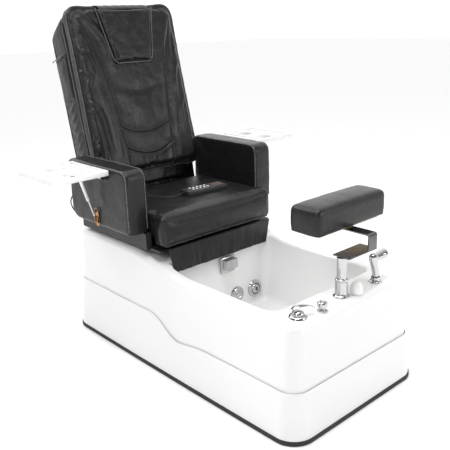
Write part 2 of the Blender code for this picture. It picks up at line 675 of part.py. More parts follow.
def make_arms():
    for side, s in (("right", -1), ("left", 1)):
        arm = box("arm_" + side, (min(s * ARM_INNER, s * ARM_OUTER), ARM_FRONT, ARM_BOTTOM),
                  (max(s * ARM_INNER, s * ARM_OUTER), ARM_BACK, ARM_TOP), "leather", bevel=0.020, segments=3)
        if side == "right":
            grommet = rod("lead_grommet", (-ARM_INNER - 0.010, 0.505, 0.705), (-ARM_INNER + 0.004, 0.505, 0.705), 0.006,
                          None, sides=16, group=CUTTERS)
            combine(arm, grommet, "UNION")
            outlet = rod("cable_grommet", (-0.372, ARM_BACK - 0.010, 0.690), (-0.372, ARM_BACK + 0.006, 0.690), 0.007,
                         None, sides=16, group=CUTTERS)
            combine(arm, outlet, "UNION")


# ---------------------------------------------------------------- back
def taper(z):
    """Half width of the back at a height along it."""
    return mix(CUSHION_HALF_LOW, CUSHION_HALF_HIGH, (z - CUSHION_LOW) / (CUSHION_HIGH - CUSHION_LOW))


def upright_loop(half_low, half_high, low, high, radius, steps=5):
    """A rounded upright outline in X and Z whose sides taper."""
    out = []
    for x, z in rounded_loop(-half_low, half_low, low, high, radius, steps):
        scale = mix(1.0, half_high / half_low, (z - low) / (high - low))
        out.append((x * scale, z))
    return out


def make_back():
    back = axis_empty("back_recline_axis", PIVOT, (-BACK_TILT, 0, 0))
    faces = ((CUSHION_FACE, 0.040), (CUSHION_FACE + 0.008, 0.018), (-0.108, 0.004), (CUSHION_REAR - 0.018, 0.0),
             (CUSHION_REAR, 0.010))
    rings = []
    for y, inset in faces:
        loop = upright_loop(CUSHION_HALF_LOW - inset, CUSHION_HALF_HIGH - inset, CUSHION_LOW + inset,
                            CUSHION_HIGH - inset, 0.055 - inset * 0.6)
        rings.append([(x, y, z) for x, z in loop])
    loft("back_cushion", rings, "leather", back)

    rings = []
    for y, out in ((ROLL_FRONT, -0.012), (-0.030, 0.0), (ROLL_REAR, -0.012), (ROLL_REAR, -0.055), (ROLL_FRONT, -0.055)):
        low = 0.050 - out * 0.5 if out > -0.05 else 0.150
        loop = upright_loop(0.286 + out, 0.276 + out, low, 0.912 + out * 1.0, 0.06)
        rings.append([(x, y, z) for x, z in loop])
    loft("side_roll", rings, "leather", back, wrap=True)

    make_back_shell(back)
    make_back_frame(back)
    make_massage(back)
    make_headrest(back)
    return back


def make_back_shell(back):
    """The rear cover: a five-sided tray, open towards the sitter, whose top slopes down to the rear."""
    rings = []
    for y, inset, drop in ((0.0, 0.0, 0.0), (0.016, 0.0, 0.0), (0.050, 0.0, 0.012), (0.100, 0.004, 0.034),
                           (SHELL_DEPTH - 0.008, 0.010, 0.050), (SHELL_DEPTH, 0.024, 0.066)):
        low = SHELL_LOW + inset
        loop = upright_loop(SHELL_HALF_WIDTH - inset, SHELL_HALF_WIDTH - inset - 0.008, low, SHELL_HIGH - drop, 0.045)
        rings.append([(x, y, z) for x, z in loop])
    bm = bmesh.new()
    rows = [[bm.verts.new(p) for p in ring] for ring in rings]
    count = len(rows[0])
    for a, b in zip(rows, rows[1:]):
        for i in range(count):
            j = (i + 1) % count
            bm.faces.new((a[i], a[j], b[j], b[i]))
    bm.faces.new(rows[-1])
    shell = from_bmesh("back_shell", bm, "leather", back)
    outward = shell.data.polygons[-1].normal.y
    solid = shell.modifiers.new("cover wall", "SOLIDIFY")
    solid.thickness = SHELL_WALL
    solid.offset = -1 if outward > 0 else 1
    slots = boxes("frame_slots", [sorted_box(s * 0.218, -0.010, s * 0.252, 0.040, SHELL_LOW - 0.010, SHELL_LOW + 0.024)
                                  for s in (-1, 1)], None, back, CUTTERS)
    return combine(shell, slots, "DIFFERENCE")


def make_back_frame(back):
    """Steel ladder inside the cover, with ears at the pivot, guide rails and the recline lever."""
    frame = boxes("back_frame", [sorted_box(s * 0.224, 0.012, s * 0.246, 0.034, 0.088, 0.815) for s in (-1, 1)],
                  "steel", back)
    cross = boxes("cross_bars", [((-0.240, 0.014, z), (0.240, 0.032, z + 0.025)) for z in (0.082, 0.790)], None, back,
                  CUTTERS)
    combine(frame, cross, "UNION")
    rails = bmesh.new()
    for s in (-1, 1):
        add_rod(rails, (s * 0.090, 0.0230, 0.100), (s * 0.090, 0.0230, 0.800), 0.0060, 12)
    combine(frame, from_bmesh("guide_rails", rails, None, back, CUTTERS), "UNION")
    foot = boxes("frame_foot", [((-0.262, -0.012, 0.018), (0.262, 0.012, 0.040))], None, back, CUTTERS)
    combine(frame, foot, "UNION")
    necks = boxes("frame_necks", [sorted_box(s * 0.227, 0.006, s * 0.243, 0.031, 0.030, 0.100) for s in (-1, 1)], None,
                  back, CUTTERS)
    combine(frame, necks, "UNION")
    ears = boxes("pivot_ears", [sorted_box(s * 0.256, -0.016, s * 0.264, 0.016, -0.018, 0.036) for s in (-1, 1)], None,
                 back, CUTTERS)
    combine(frame, ears, "UNION")
    lever = boxes("recline_lever", [((-0.006, -0.007, -0.072), (0.006, 0.009, 0.030))], None, back, CUTTERS)
    combine(frame, lever, "UNION")
    combine(frame, rod("pivot_bores", (-0.30, 0, 0), (0.30, 0, 0), 0.0085, None, back, 24, CUTTERS), "DIFFERENCE")
    return frame


def make_massage(back):
    """The carriage runs on the two guide rails and carries a pair of kneading rollers."""
    z = 0.470
    carriage = box("massage_carriage", (-0.125, 0.036, z - 0.050), (0.125, 0.070, z + 0.050), "black_plastic", back)
    lugs = bmesh.new()
    for s in (-1, 1):
        add_box(lugs, (s * 0.090 - 0.016, 0.010, z - 0.035), (s * 0.090 + 0.016, 0.040, z + 0.035))
    combine(carriage, from_bmesh("rail_lugs", lugs, None, back, CUTTERS), "UNION")
    bores = bmesh.new()
    for s in (-1, 1):
        add_rod(bores, (s * 0.090, 0.0230, z - 0.08), (s * 0.090, 0.0230, z + 0.08), 0.0066, 16)
    combine(carriage, from_bmesh("rail_bores", bores, None, back, CUTTERS), "DIFFERENCE")
    arms = bmesh.new()
    for s in (-1, 1):
        add_box(arms, (s * 0.030 - 0.004, -0.012, z - 0.012), (s * 0.030 + 0.004, 0.040, z + 0.012))
    combine(carriage, from_bmesh("roller_arms", arms, None, back, CUTTERS), "UNION")
    hole = rod("roller_bore", (-0.06, -0.004, z), (0.06, -0.004, z), 0.0056, None, back, 16, CUTTERS)
    combine(carriage, hole, "DIFFERENCE")
    rollers = rod("massage_rollers", (-0.062, -0.004, z), (0.062, -0.004, z), 0.0050, "rubber", back, 16)
    wheels = bmesh.new()
    for s in (-1, 1):
        add_rod(wheels, (s * 0.040, -0.004, z), (s * 0.060, -0.004, z), 0.036, 24)
    combine(rollers, from_bmesh("roller_wheels", wheels, None, back, CUTTERS), "UNION")


def make_headrest(back):
    """A weighted flap hung over the top of the back; it lifts about its top seam."""
    face = CUSHION_FACE - GAP * 2
    outline = [(-FLAP_HALF_HIGH, FLAP_HIGH), (-FLAP_HALF_LOW, FLAP_LOW), (FLAP_HALF_LOW, FLAP_LOW),
               (FLAP_HALF_HIGH, FLAP_HIGH)]
    rings = []
    for depth, inset in ((0.0, 0.004), (0.006, 0.0), (FLAP_THICK - 0.010, 0.004), (FLAP_THICK, 0.020)):
        ring = []
        for x, z in outline:
            up = z - inset if z == FLAP_HIGH else z + inset
            ring.append((x - inset if x > 0 else x + inset, face - depth, up))
        rings.append(ring)
    loft("headrest_flap", rings, "leather", back)


# ---------------------------------------------------------------- side trays
def make_trays():
    for side, s in (("right", -1), ("left", 1)):
        make_tray(side, s)
        make_stay(side, s)
        make_tray_mounts(side, s)


def make_tray(side, s):
    """A moulded plate with two cup holes, a shallow well and a gutter, on two lugs at the fold line."""
    low, high = sorted_box(s * TRAY_INNER, TRAY_FRONT, s * TRAY_OUTER, TRAY_REAR, TRAY_TOP - TRAY_THICK, TRAY_TOP)
    tray = box("tray_" + side, low, high, "tray_plastic", bevel=0.004, segments=2)
    well = sorted_box(s * 0.4810, TRAY_FRONT + 0.010, s * (TRAY_OUTER - 0.010), TRAY_REAR - 0.010, TRAY_TOP - 0.008,
                      TRAY_TOP + 0.01)
    gutter = sorted_box(s * 0.4380, TRAY_FRONT + 0.010, s * 0.4710, TRAY_REAR - 0.010, TRAY_TOP - 0.012,
                        TRAY_TOP + 0.01)
    combine(tray, boxes("tray_wells_" + side, [well, gutter], None, group=CUTTERS), "DIFFERENCE")
    holes = bmesh.new()
    for y in CUP_Y:
        add_rod(holes, (s * CUP_X, y, 0.80), (s * CUP_X, y, 0.90), CUP_R, 32)
    combine(tray, from_bmesh("cup_holes_" + side, holes, None, group=CUTTERS), "DIFFERENCE")
    lugs = [sorted_box(s * 0.4260, y - 0.008, s * 0.4360, y + 0.008, TRAY_AXIS[1] - 0.005,
                       TRAY_TOP - TRAY_THICK + 0.006) for y in LUG_Y]
    return combine(tray, boxes("tray_lugs_" + side, lugs, None, group=CUTTERS), "UNION")


def make_tray_mounts(side, s):
    """On the arm: a leaf with two pairs of knuckles for the fold line, and a catch for the stay."""
    face, axis_z = ARM_OUTER + 0.0006, TRAY_AXIS[1]
    leaf = box("tray_hinge_" + side, *sorted_box(s * face, LUG_Y[0] - 0.030, s * (face + 0.003), LUG_Y[1] + 0.030,
                                                 axis_z - 0.009, axis_z + 0.007), "steel")
    knuckles = []
    for y in LUG_Y:
        for near in (y - 0.0205, y + 0.0085):
            knuckles.append(sorted_box(s * (face + 0.001), near, s * 0.4350, near + 0.012, axis_z - 0.007,
                                       axis_z + 0.005))
    combine(leaf, boxes("knuckles_" + side, knuckles, None, group=CUTTERS), "UNION")
    catch = box("stay_catch_" + side, *sorted_box(s * face, STAY_Y - 0.012, s * (face + 0.0025), STAY_Y + 0.012, 0.596,
                                                  0.660), "brass")
    cheeks = [sorted_box(s * (face + 0.001), y0, s * 0.4262, y0 + 0.004, 0.612, 0.640)
              for y0 in (STAY_Y - 0.011, STAY_Y + 0.007)]
    combine(catch, boxes("catch_cheeks_" + side, cheeks, None, group=CUTTERS), "UNION")


def make_stay(side, s):
    """A white tube with a thin rod, hung from the tray; its lower end rests in the catch on the arm."""
    top = Vector((s * STAY_PIVOT[0], STAY_Y, STAY_PIVOT[1]))
    way = Vector((-s * sin(STAY_LEAN), 0.0, -cos(STAY_LEAN)))
    stay = rod("stay_" + side, top + way * 0.010, top + way * 0.120, 0.0070, "tray_plastic", sides=20)
    pieces = bmesh.new()
    add_rod(pieces, top + way * 0.110, top + way * STAY_LENGTH, 0.0028, 12)
    combine(stay, from_bmesh("stay_rod_" + side, pieces, None, group=CUTTERS), "UNION")
    return stay


# ---------------------------------------------------------------- hand controller and leads
def make_remote():
    place_at = axis_empty("remote_place", REMOTE_CENTRE, (0, 0, REMOTE_TURN))
    half = REMOTE_SIZE / 2
    housing = box("remote_housing", -half, half, "black_plastic", place_at, bevel=0.003, segments=2)
    top = half.z
    pockets, key_places = bmesh.new(), []
    for row, y in enumerate((0.014, -0.010)):
        for column in range(5):
            x = -0.066 + column * 0.0205 + (1 - row) * -0.004
            key_places.append((row, column, x, y))
            add_box(pockets, (x - KEY_SIZE.x / 2 - 0.0005, y - KEY_SIZE.y / 2 - 0.0005, top - 0.0045),
                    (x + KEY_SIZE.x / 2 + 0.0005, y + KEY_SIZE.y / 2 + 0.0005, top + 0.01))
    add_box(pockets, (0.0410, -0.0225, top - 0.0020), (0.1010, 0.0225, top + 0.01))
    combine(housing, from_bmesh("key_pockets", pockets, None, place_at, CUTTERS), "DIFFERENCE")
    relief = rod("remote_relief", (-half.x - 0.012, 0.004, 0.0), (-half.x + 0.006, 0.004, 0.0), 0.0035, None, place_at,
                 16, CUTTERS)
    combine(housing, relief, "UNION")
    box("remote_window", (0.0415, -0.0220, top - 0.0016), (0.1005, 0.0220, top - 0.0004), "display", place_at)
    for row, column, x, y in key_places:
        box(f"key_{row + 1}_{column + 1}", (x - KEY_SIZE.x / 2, y - KEY_SIZE.y / 2, top - 0.0030),
            (x + KEY_SIZE.x / 2, y + KEY_SIZE.y / 2, top - 0.0030 + KEY_SIZE.z), "key_white", place_at,
            bevel=0.0008, segments=1)


CORD_ROUTE = (
    (-0.0605, 0.2315, 0.6930), (-0.0720, 0.2325, 0.6905), (-0.0950, 0.2450, 0.6840), (-0.1300, 0.2900, 0.6832),
    (-0.1650, 0.3450, 0.6830), (-0.2050, 0.4050, 0.6830), (-0.2450, 0.4600, 0.6840), (-0.2750, 0.4950, 0.6930),
    (-0.2920, 0.5050, 0.7035), (-0.3038, 0.5050, 0.7050))
CABLE_ROUTE = (
    (-0.3720, 0.6040, 0.6900), (-0.3740, 0.6200, 0.6890), (-0.3850, 0.6400, 0.6720), (-0.3920, 0.6430, 0.6430),
    (-0.3880, 0.6250, 0.6100), (-0.3800, 0.5850, 0.5870), (-0.3720, 0.5400, 0.5820), (-0.3680, 0.5000, 0.5790),
    (-0.3590, 0.4730, 0.5770), (-0.3440, 0.4620, 0.5760))


def make_leads():
    tube("remote_cord", CORD_ROUTE, CORD_R, "black_plastic", spacing=CORD_R * 4.6)
    tube("arm_cable", CABLE_ROUTE, CABLE_R, "black_plastic", spacing=CABLE_R * 4.6)


clear_scene()
make_base()
make_basin_fittings()
make_deck_fittings()
make_leg_rest()
make_seat()
make_back()
make_trays()
make_remote()
make_leads()
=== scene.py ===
# %% [markdown]
# # Pedicure spa chair: the looks
# This is the visual half of a salon pedicure chair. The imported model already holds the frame, the sizes and
# everything that moves, so this script only adds what an eye needs: moulded acrylic, stuffed black leather with
# seams and piping, bright chrome, leads, finishes, light and a camera. Everything is in metres, +Z up, and the
# sitter faces -Y. Each step below says what a piece is on the real chair and why it is made the way it is.

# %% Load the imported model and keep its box
import json
from math import atan, cos, pi, radians, sin

import bmesh
import bpy
import numpy as np
from mathutils import Matrix, Vector, noise
from mathutils.bvhtree import BVHTree

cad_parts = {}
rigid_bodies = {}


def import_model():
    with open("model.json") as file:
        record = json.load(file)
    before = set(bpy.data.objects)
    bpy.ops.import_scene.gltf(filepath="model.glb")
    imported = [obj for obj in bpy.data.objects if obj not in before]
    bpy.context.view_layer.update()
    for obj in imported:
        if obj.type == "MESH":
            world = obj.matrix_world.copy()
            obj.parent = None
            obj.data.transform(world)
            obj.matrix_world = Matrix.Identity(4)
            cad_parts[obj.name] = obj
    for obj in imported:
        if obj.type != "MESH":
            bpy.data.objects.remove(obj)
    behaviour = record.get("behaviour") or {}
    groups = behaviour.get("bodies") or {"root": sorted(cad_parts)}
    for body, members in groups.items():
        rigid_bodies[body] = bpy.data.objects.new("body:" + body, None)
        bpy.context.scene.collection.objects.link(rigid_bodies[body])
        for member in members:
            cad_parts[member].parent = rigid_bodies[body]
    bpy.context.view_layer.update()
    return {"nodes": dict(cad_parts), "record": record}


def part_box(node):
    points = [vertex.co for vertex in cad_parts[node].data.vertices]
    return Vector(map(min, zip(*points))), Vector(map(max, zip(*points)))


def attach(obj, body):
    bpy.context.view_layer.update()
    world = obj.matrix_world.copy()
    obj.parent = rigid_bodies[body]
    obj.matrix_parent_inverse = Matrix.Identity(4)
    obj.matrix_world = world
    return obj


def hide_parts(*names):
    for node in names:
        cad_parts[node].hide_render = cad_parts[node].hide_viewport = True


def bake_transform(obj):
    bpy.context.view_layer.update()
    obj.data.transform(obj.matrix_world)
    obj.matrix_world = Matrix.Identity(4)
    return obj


for leftover in list(bpy.data.objects):
    bpy.data.objects.remove(leftover)
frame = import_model()
nodes = frame["nodes"]

# %% [markdown]
# ## Camera
# The chair is seen from its front right corner, a little above seat height, with a short telephoto lens, so that
# uprights stay nearly parallel. The camera's three axes are worked out from an azimuth, an elevation and a slight
# roll, which is easier to read than a matrix of nine numbers.

# %% Camera
SEEN_FROM = Vector((-1.8063, -2.0071, 1.4469))
AZIMUTH, ELEVATION, ROLL = radians(-41.81), radians(17.79), radians(-1.85)
LENS, SENSOR = 52.0, 36.0


def make_camera():
    backward = Vector((sin(AZIMUTH) * cos(ELEVATION), -cos(AZIMUTH) * cos(ELEVATION), sin(ELEVATION)))
    level = (-backward).cross(Vector((0, 0, 1))).normalized()
    upright = level.cross(-backward)
    across = level * cos(ROLL) + upright * sin(ROLL)
    above = upright * cos(ROLL) - level * sin(ROLL)
    camera = bpy.data.objects.new("camera", bpy.data.cameras.new("camera"))
    camera.data.lens = LENS
    camera.data.sensor_width = SENSOR
    turn = Matrix((across, above, backward)).transposed().to_4x4()
    camera.matrix_world = Matrix.Translation(SEEN_FROM) @ turn
    bpy.context.scene.collection.objects.link(camera)
    bpy.context.scene.camera = camera


make_camera()

# %% [markdown]
# ## Small tools
# A few helpers are used all the way down: a smooth line through given points, a round tube along a line,
# a skin over a row of rings, and a way to turn modifiers into plain mesh. `fit` gives a piece its finish and the
# body that it moves with, and hides the plain nodes that it stands for.

# %% Small tools
def smooth_line(points, steps=10):
    """A smooth curve through a few points (Catmull-Rom), as a longer list of points."""
    points = [Vector(p) for p in points]
    ends = [points[0] * 2 - points[1]] + points + [points[-1] * 2 - points[-2]]
    line = []
    for a, b, c, d in zip(ends, ends[1:], ends[2:], ends[3:]):
        for k in range(steps):
            t = k / steps
            line.append(0.5 * (2 * b + (c - a) * t + (2 * a - 5 * b + 4 * c - d) * t * t
                               + (3 * b - a - 3 * c + d) * t ** 3))
    return line + [points[-1]]


def line_length(line):
    return sum((b - a).length for a, b in zip(line, line[1:]))


def link(name, data):
    piece = bpy.data.objects.new(name, data)
    bpy.context.scene.collection.objects.link(piece)
    return piece


def tube(name, line, radius, closed=False):
    curve = bpy.data.curves.new(name, "CURVE")
    curve.dimensions = "3D"
    curve.bevel_depth = radius
    curve.bevel_resolution = 3
    curve.use_fill_caps = True
    spline = curve.splines.new("POLY")
    spline.points.add(len(line) - 1)
    spline.use_cyclic_u = closed
    for point, at in zip(spline.points, line):
        point.co = (*at, 1.0)
    spline.use_smooth = True
    return link(name, curve)


def skin(name, rings, closed_rings=True, cap_ends=False, closed_run=False):
    """A mesh over rows of points: every row has the same number of points."""
    rows = len(rings)
    count = len(rings[0])
    points = [tuple(p) for ring in rings for p in ring]
    faces = []
    for i in range(rows if closed_run else rows - 1):
        for j in range(count if closed_rings else count - 1):
            k, m = (j + 1) % count, (i + 1) % rows
            faces.append((i * count + j, i * count + k, m * count + k, m * count + j))
    if cap_ends:
        faces.append(tuple(range(count))[::-1])
        faces.append(tuple(range((rows - 1) * count, rows * count)))
    mesh = bpy.data.meshes.new(name)
    mesh.from_pydata(points, [], faces)
    piece = link(name, mesh)
    outward(piece)
    return piece


def outward(piece):
    """Turns every face outwards and shades the mesh smooth, with its real corners kept."""
    bm = bmesh.new()
    bm.from_mesh(piece.data)
    bmesh.ops.recalc_face_normals(bm, faces=bm.faces)
    bm.to_mesh(piece.data)
    bm.free()
    piece.data.shade_smooth()
    piece.data.set_sharp_from_angle(angle=radians(38))


def settle(piece):
    """Turns a piece's modifiers, or a curve, into plain mesh."""
    bpy.context.view_layer.update()
    seen = piece.evaluated_get(bpy.context.evaluated_depsgraph_get())
    mesh = bpy.data.meshes.new_from_object(seen)
    piece.modifiers.clear()
    piece.data = mesh
    return piece


def thicken(piece, name, thickness, offset=0.0):
    wall = piece.modifiers.new(name, "SOLIDIFY")
    wall.thickness = thickness
    wall.offset = offset


def round_edges(piece, width, segments=3, angle=32):
    bevel = piece.modifiers.new("rounded edges", "BEVEL")
    bevel.width = width
    bevel.segments = segments
    bevel.limit_method = "ANGLE"
    bevel.angle_limit = radians(angle)
    return piece


def fit(piece, finish, body, slot, *stands_for):
    piece.data.materials.clear()
    piece.data.materials.append(finish)
    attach(piece, body)
    if stands_for:
        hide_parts(*stands_for)
    print("fitted", piece.name, "to", body)
    return piece


def ease(t):
    t = min(1.0, max(0.0, t))
    return t * t * (3 - 2 * t)


def mix(a, b, t):
    return a + (b - a) * t


def quarter(steps):
    """Even steps through a right angle, both ends included."""
    return [radians(90 * k / steps) for k in range(steps + 1)]


def finely(line, step, closed=True):
    """Cuts every side of an outline into short steps."""
    fine = []
    for a, b in zip(line, line[1:] + (line[:1] if closed else [])):
        steps = max(1, round(((b[0] - a[0]) ** 2 + (b[1] - a[1]) ** 2) ** 0.5 / step))
        fine += [(mix(a[0], b[0], k / steps), mix(a[1], b[1], k / steps)) for k in range(steps)]
    return fine if closed else fine + [line[-1]]


def hug(piece, line, out, closed=False):
    """Lays a line on a piece's skin: each point goes to the nearest place on it, then the line is evened out."""
    mesh = piece.data
    tree = BVHTree.FromPolygons([v.co for v in mesh.vertices], [face.vertices for face in mesh.polygons])
    laid = []
    for point in line:
        spot, normal, _, _ = tree.find_nearest(Vector(point))
        laid.append(spot + normal * out)
    for _ in range(3):
        before = [laid[-1]] + laid[:-1] if closed else laid[:1] + laid[:-1]
        after = laid[1:] + ([laid[0]] if closed else laid[-1:])
        laid = [(a + b * 2 + c) / 4 for a, b, c in zip(before, laid, after)]
    return laid

# %% [markdown]
# ## Leads
# Two leads show. The hand controller's thin lead runs over the seat to a grommet in the right arm, and a thicker
# one loops out of the arm's rear face and back in under it. A lead has one real length, so it is a curve through
# the same points that the model was built with, and its length is measured from that curve.

# %% Leads
CORD_RADIUS, CABLE_RADIUS = 0.0022, 0.003
CORD_ROUTE = (
    (-0.0605, 0.2315, 0.693), (-0.072, 0.2325, 0.6905), (-0.095, 0.245, 0.684), (-0.13, 0.29, 0.6832),
    (-0.165, 0.345, 0.683), (-0.205, 0.405, 0.683), (-0.245, 0.46, 0.684), (-0.275, 0.495, 0.693),
    (-0.292, 0.505, 0.7035), (-0.3038, 0.505, 0.705))
CABLE_ROUTE = (
    (-0.372, 0.604, 0.69), (-0.374, 0.62, 0.689), (-0.385, 0.64, 0.672), (-0.392, 0.643, 0.643),
    (-0.388, 0.625, 0.61), (-0.38, 0.585, 0.587), (-0.372, 0.54, 0.582), (-0.368, 0.5, 0.579),
    (-0.359, 0.473, 0.577), (-0.344, 0.462, 0.576))


def make_lead(name, route, radius, node):
    line = smooth_line(route)
    lead = tube(name, line, radius)
    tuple(route[0])
    round(line_length(line), 3)
    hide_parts(node)
    print(name, round(line_length(line), 3), "m")
    return lead


controller_lead = make_lead("controller_lead", CORD_ROUTE, CORD_RADIUS, "remote_cord")
arm_lead = make_lead("arm_lead", CABLE_ROUTE, CABLE_RADIUS, "arm_cable")

# %% [markdown]
# ## Shared shader effects
# Leather grain, moulded speckle and the faint marks of handling are each used by several finishes. Each one is a
# node group, built once and placed with its own values in every material. A group only puts out values that
# change over the surface: a height for bump, and a mask for tone. The Principled shader stays in the material.

# %% Shader groups
def shader_group(name, inputs):
    group = bpy.data.node_groups.new(name, "ShaderNodeTree")
    for label, value in inputs:
        socket = group.interface.new_socket(name=label, in_out="INPUT", socket_type="NodeSocketFloat")
        socket.default_value = value
    for label in ("Height", "Tone"):
        group.interface.new_socket(name=label, in_out="OUTPUT", socket_type="NodeSocketFloat")
    return group, *(group.nodes.new(kind) for kind in ("NodeGroupInput", "NodeGroupOutput", "ShaderNodeTexCoord"))


def wire(tree, source, out, target, into):
    tree.links.new(source.outputs[out], target.inputs[into])


def texture_node(tree, kind, scale_from, coordinates, **values):
    made = tree.nodes.new(kind)
    for label, value in values.items():
        made.inputs[label].default_value = value
    wire(tree, coordinates, "Object", made, "Vector")
    wire(tree, *scale_from, made, "Scale")
    return made


def math_node(tree, operation, first, second):
    made = tree.nodes.new("ShaderNodeMath")
    made.operation = operation
    for slot_at, value in enumerate((first, second)):
        if isinstance(value, tuple):
            tree.links.new(value[0].outputs[value[1]], made.inputs[slot_at])
        else:
            made.inputs[slot_at].default_value = value
    return made


def spread_node(tree, source, out, bounds, results):
    """Maps a value from one span to another."""
    spread = tree.nodes.new("ShaderNodeMapRange")
    for label, value in zip(("From Min", "From Max", "To Min", "To Max"), (*bounds, *results)):
        spread.inputs[label].default_value = value
    wire(tree, source, out, spread, "Value")
    return spread


def make_leather_grain():
    """Pebbles from two sizes of cells, over soft creasing."""
    group, source, result, place = shader_group("leather_grain", (("Pebbles", 620.0), ("Creases", 34.0)))
    cells = texture_node(group, "ShaderNodeTexVoronoi", (source, "Pebbles"), place, Randomness=0.9)
    creases = texture_node(group, "ShaderNodeTexNoise", (source, "Creases"), place, Detail=4.0, Distortion=1.2)
    grain = math_node(group, "MULTIPLY", (cells, "Distance"), 0.55)
    both = math_node(group, "ADD", (grain, "Value"), (creases, "Fac"))
    wire(group, both, "Value", result, "Height")
    wire(group, creases, "Fac", result, "Tone")
    return group


def make_moulded_speckle():
    """Fine even grain left by a mould or by powder paint."""
    group, source, result, place = shader_group("moulded_speckle", (("Grain", 900.0), ("Patches", 6.0)))
    grain = texture_node(group, "ShaderNodeTexNoise", (source, "Grain"), place, Detail=2.0)
    patches = texture_node(group, "ShaderNodeTexNoise", (source, "Patches"), place, Detail=3.0)
    wire(group, grain, "Fac", result, "Height")
    wire(group, patches, "Fac", result, "Tone")
    return group


def make_handling_marks():
    """Slow waves with faint smears, as on a wiped metal or acrylic surface."""
    group, source, result, place = shader_group("handling_marks", (("Waves", 9.0), ("Smears", 60.0)))
    waves = texture_node(group, "ShaderNodeTexNoise", (source, "Waves"), place, Detail=1.0)
    smears = texture_node(group, "ShaderNodeTexNoise", (source, "Smears"), place, Detail=5.0, Distortion=2.5)
    mask = math_node(group, "MULTIPLY", (waves, "Fac"), (smears, "Fac"))
    wire(group, waves, "Fac", result, "Height")
    wire(group, mask, "Value", result, "Tone")
    return group


EFFECTS = {"leather_grain": make_leather_grain(), "moulded_speckle": make_moulded_speckle(),
           "handling_marks": make_handling_marks()}
print("shader groups:", ", ".join(EFFECTS))

# %% [markdown]
# ## Finishes
# Every material is a Principled shader with two tones of its colour mixed by the group's mask, a roughness that
# follows the same mask, and a bump from the group's height. Only the numbers differ, so one function makes them
# and a short table describes each finish: black leather, acrylic, chrome, steel, plastics, rubber and brass.

# %% Finishes
def make_finish(name, effect, dark, light, rough, bump, metallic=0.0, coat=0.0, gloss=0.5, **scales):
    made = bpy.data.materials.new(name)
    made.use_nodes = True
    tree = made.node_tree
    shader = tree.nodes["Principled BSDF"]
    for label, value in (("Metallic", metallic), ("Coat Weight", coat), ("Specular IOR Level", gloss),
                         ("Coat Roughness", 0.08)):
        shader.inputs[label].default_value = value
    marks = tree.nodes.new("ShaderNodeGroup")
    marks.node_tree = EFFECTS[effect]
    for label, value in scales.items():
        marks.inputs[label].default_value = value
    tones = tree.nodes.new("ShaderNodeMix")
    tones.data_type = "RGBA"
    tones.inputs["A"].default_value = (*dark, 1.0)
    tones.inputs["B"].default_value = (*light, 1.0)
    wire(tree, marks, "Tone", tones, "Factor")
    wire(tree, tones, "Result", shader, "Base Color")
    wire(tree, spread_node(tree, marks, "Tone", (0.25, 0.75), rough), "Result", shader, "Roughness")
    relief = tree.nodes.new("ShaderNodeBump")
    relief.inputs["Distance"].default_value = bump
    relief.inputs["Strength"].default_value = 0.6
    wire(tree, marks, "Height", relief, "Height")
    wire(tree, relief, "Normal", shader, "Normal")
    return made


def grey(value):
    return (value, value, value)


LEATHER = make_finish("black_leather", "leather_grain", (0.007, 0.007, 0.008), (0.018, 0.018, 0.019),
                      (0.26, 0.38), 0.0006, gloss=0.36)
# The piping is the same black leather as the cushions; its lighter grey is a painted highlight for the shine along
# its round edge.
PIPING_PAINTED_HIGHLIGHT = make_finish("leather_piping_painted_highlight", "leather_grain", (0.065, 0.065, 0.067), (0.12, 0.12, 0.123),
                     (0.22, 0.34), 0.0003, Pebbles=900.0)
ACRYLIC = make_finish("white_acrylic", "handling_marks", (0.85, 0.85, 0.85), (0.88, 0.88, 0.875),
                      (0.12, 0.22), 0.0002, coat=0.2, Waves=3.0, Smears=18.0)
CHROME = make_finish("chrome", "handling_marks", grey(0.52), (0.62, 0.63, 0.64), (0.03, 0.1), 0.00005,
                     metallic=1.0, Waves=14.0, Smears=90.0)
STRIP_STEEL = make_finish("strip_steel", "handling_marks", grey(0.12), grey(0.24), (0.18, 0.34), 0.0001,
                          metallic=1.0, Waves=30.0, Smears=260.0)
BLACK_STEEL = make_finish("black_steel", "moulded_speckle", grey(0.018), grey(0.034), (0.38, 0.55), 0.0003,
                          metallic=0.2)
TRAY_PLASTIC = make_finish("tray_plastic", "moulded_speckle", (0.84, 0.84, 0.83), (0.9, 0.9, 0.89),
                           (0.24, 0.36), 0.0001, coat=0.15)
BLACK_PLASTIC = make_finish("black_plastic", "moulded_speckle", grey(0.016), grey(0.03), (0.3, 0.48), 0.0003)
RUBBER = make_finish("rubber", "moulded_speckle", grey(0.014), grey(0.026), (0.62, 0.8), 0.0004, Grain=500.0)
LEAD_RUBBER = make_finish("lead_rubber", "moulded_speckle", grey(0.012), grey(0.022), (0.3, 0.42), 0.0001)
KEY_WHITE = make_finish("key_white", "moulded_speckle", (0.8, 0.74, 0.72), (0.9, 0.86, 0.84), (0.35, 0.5),
                        0.0001, Patches=220.0)
DISPLAY = make_finish("display_grey", "handling_marks", (0.13, 0.12, 0.12), (0.24, 0.21, 0.21), (0.08, 0.16),
                      0.00005, coat=0.6)
DISPLAY_RIM = make_finish("display_rim", "moulded_speckle", (0.22, 0.06, 0.05), (0.3, 0.09, 0.07), (0.3, 0.4),
                          0.0001)
BRASS = make_finish("brass", "handling_marks", (0.3, 0.15, 0.06), (0.62, 0.38, 0.18), (0.18, 0.36), 0.0001,
                    metallic=1.0, Smears=160.0)
PLYWOOD = make_finish("plywood", "moulded_speckle", (0.36, 0.25, 0.14), (0.58, 0.45, 0.29), (0.55, 0.75), 0.0004,
                      Grain=240.0, Patches=30.0)
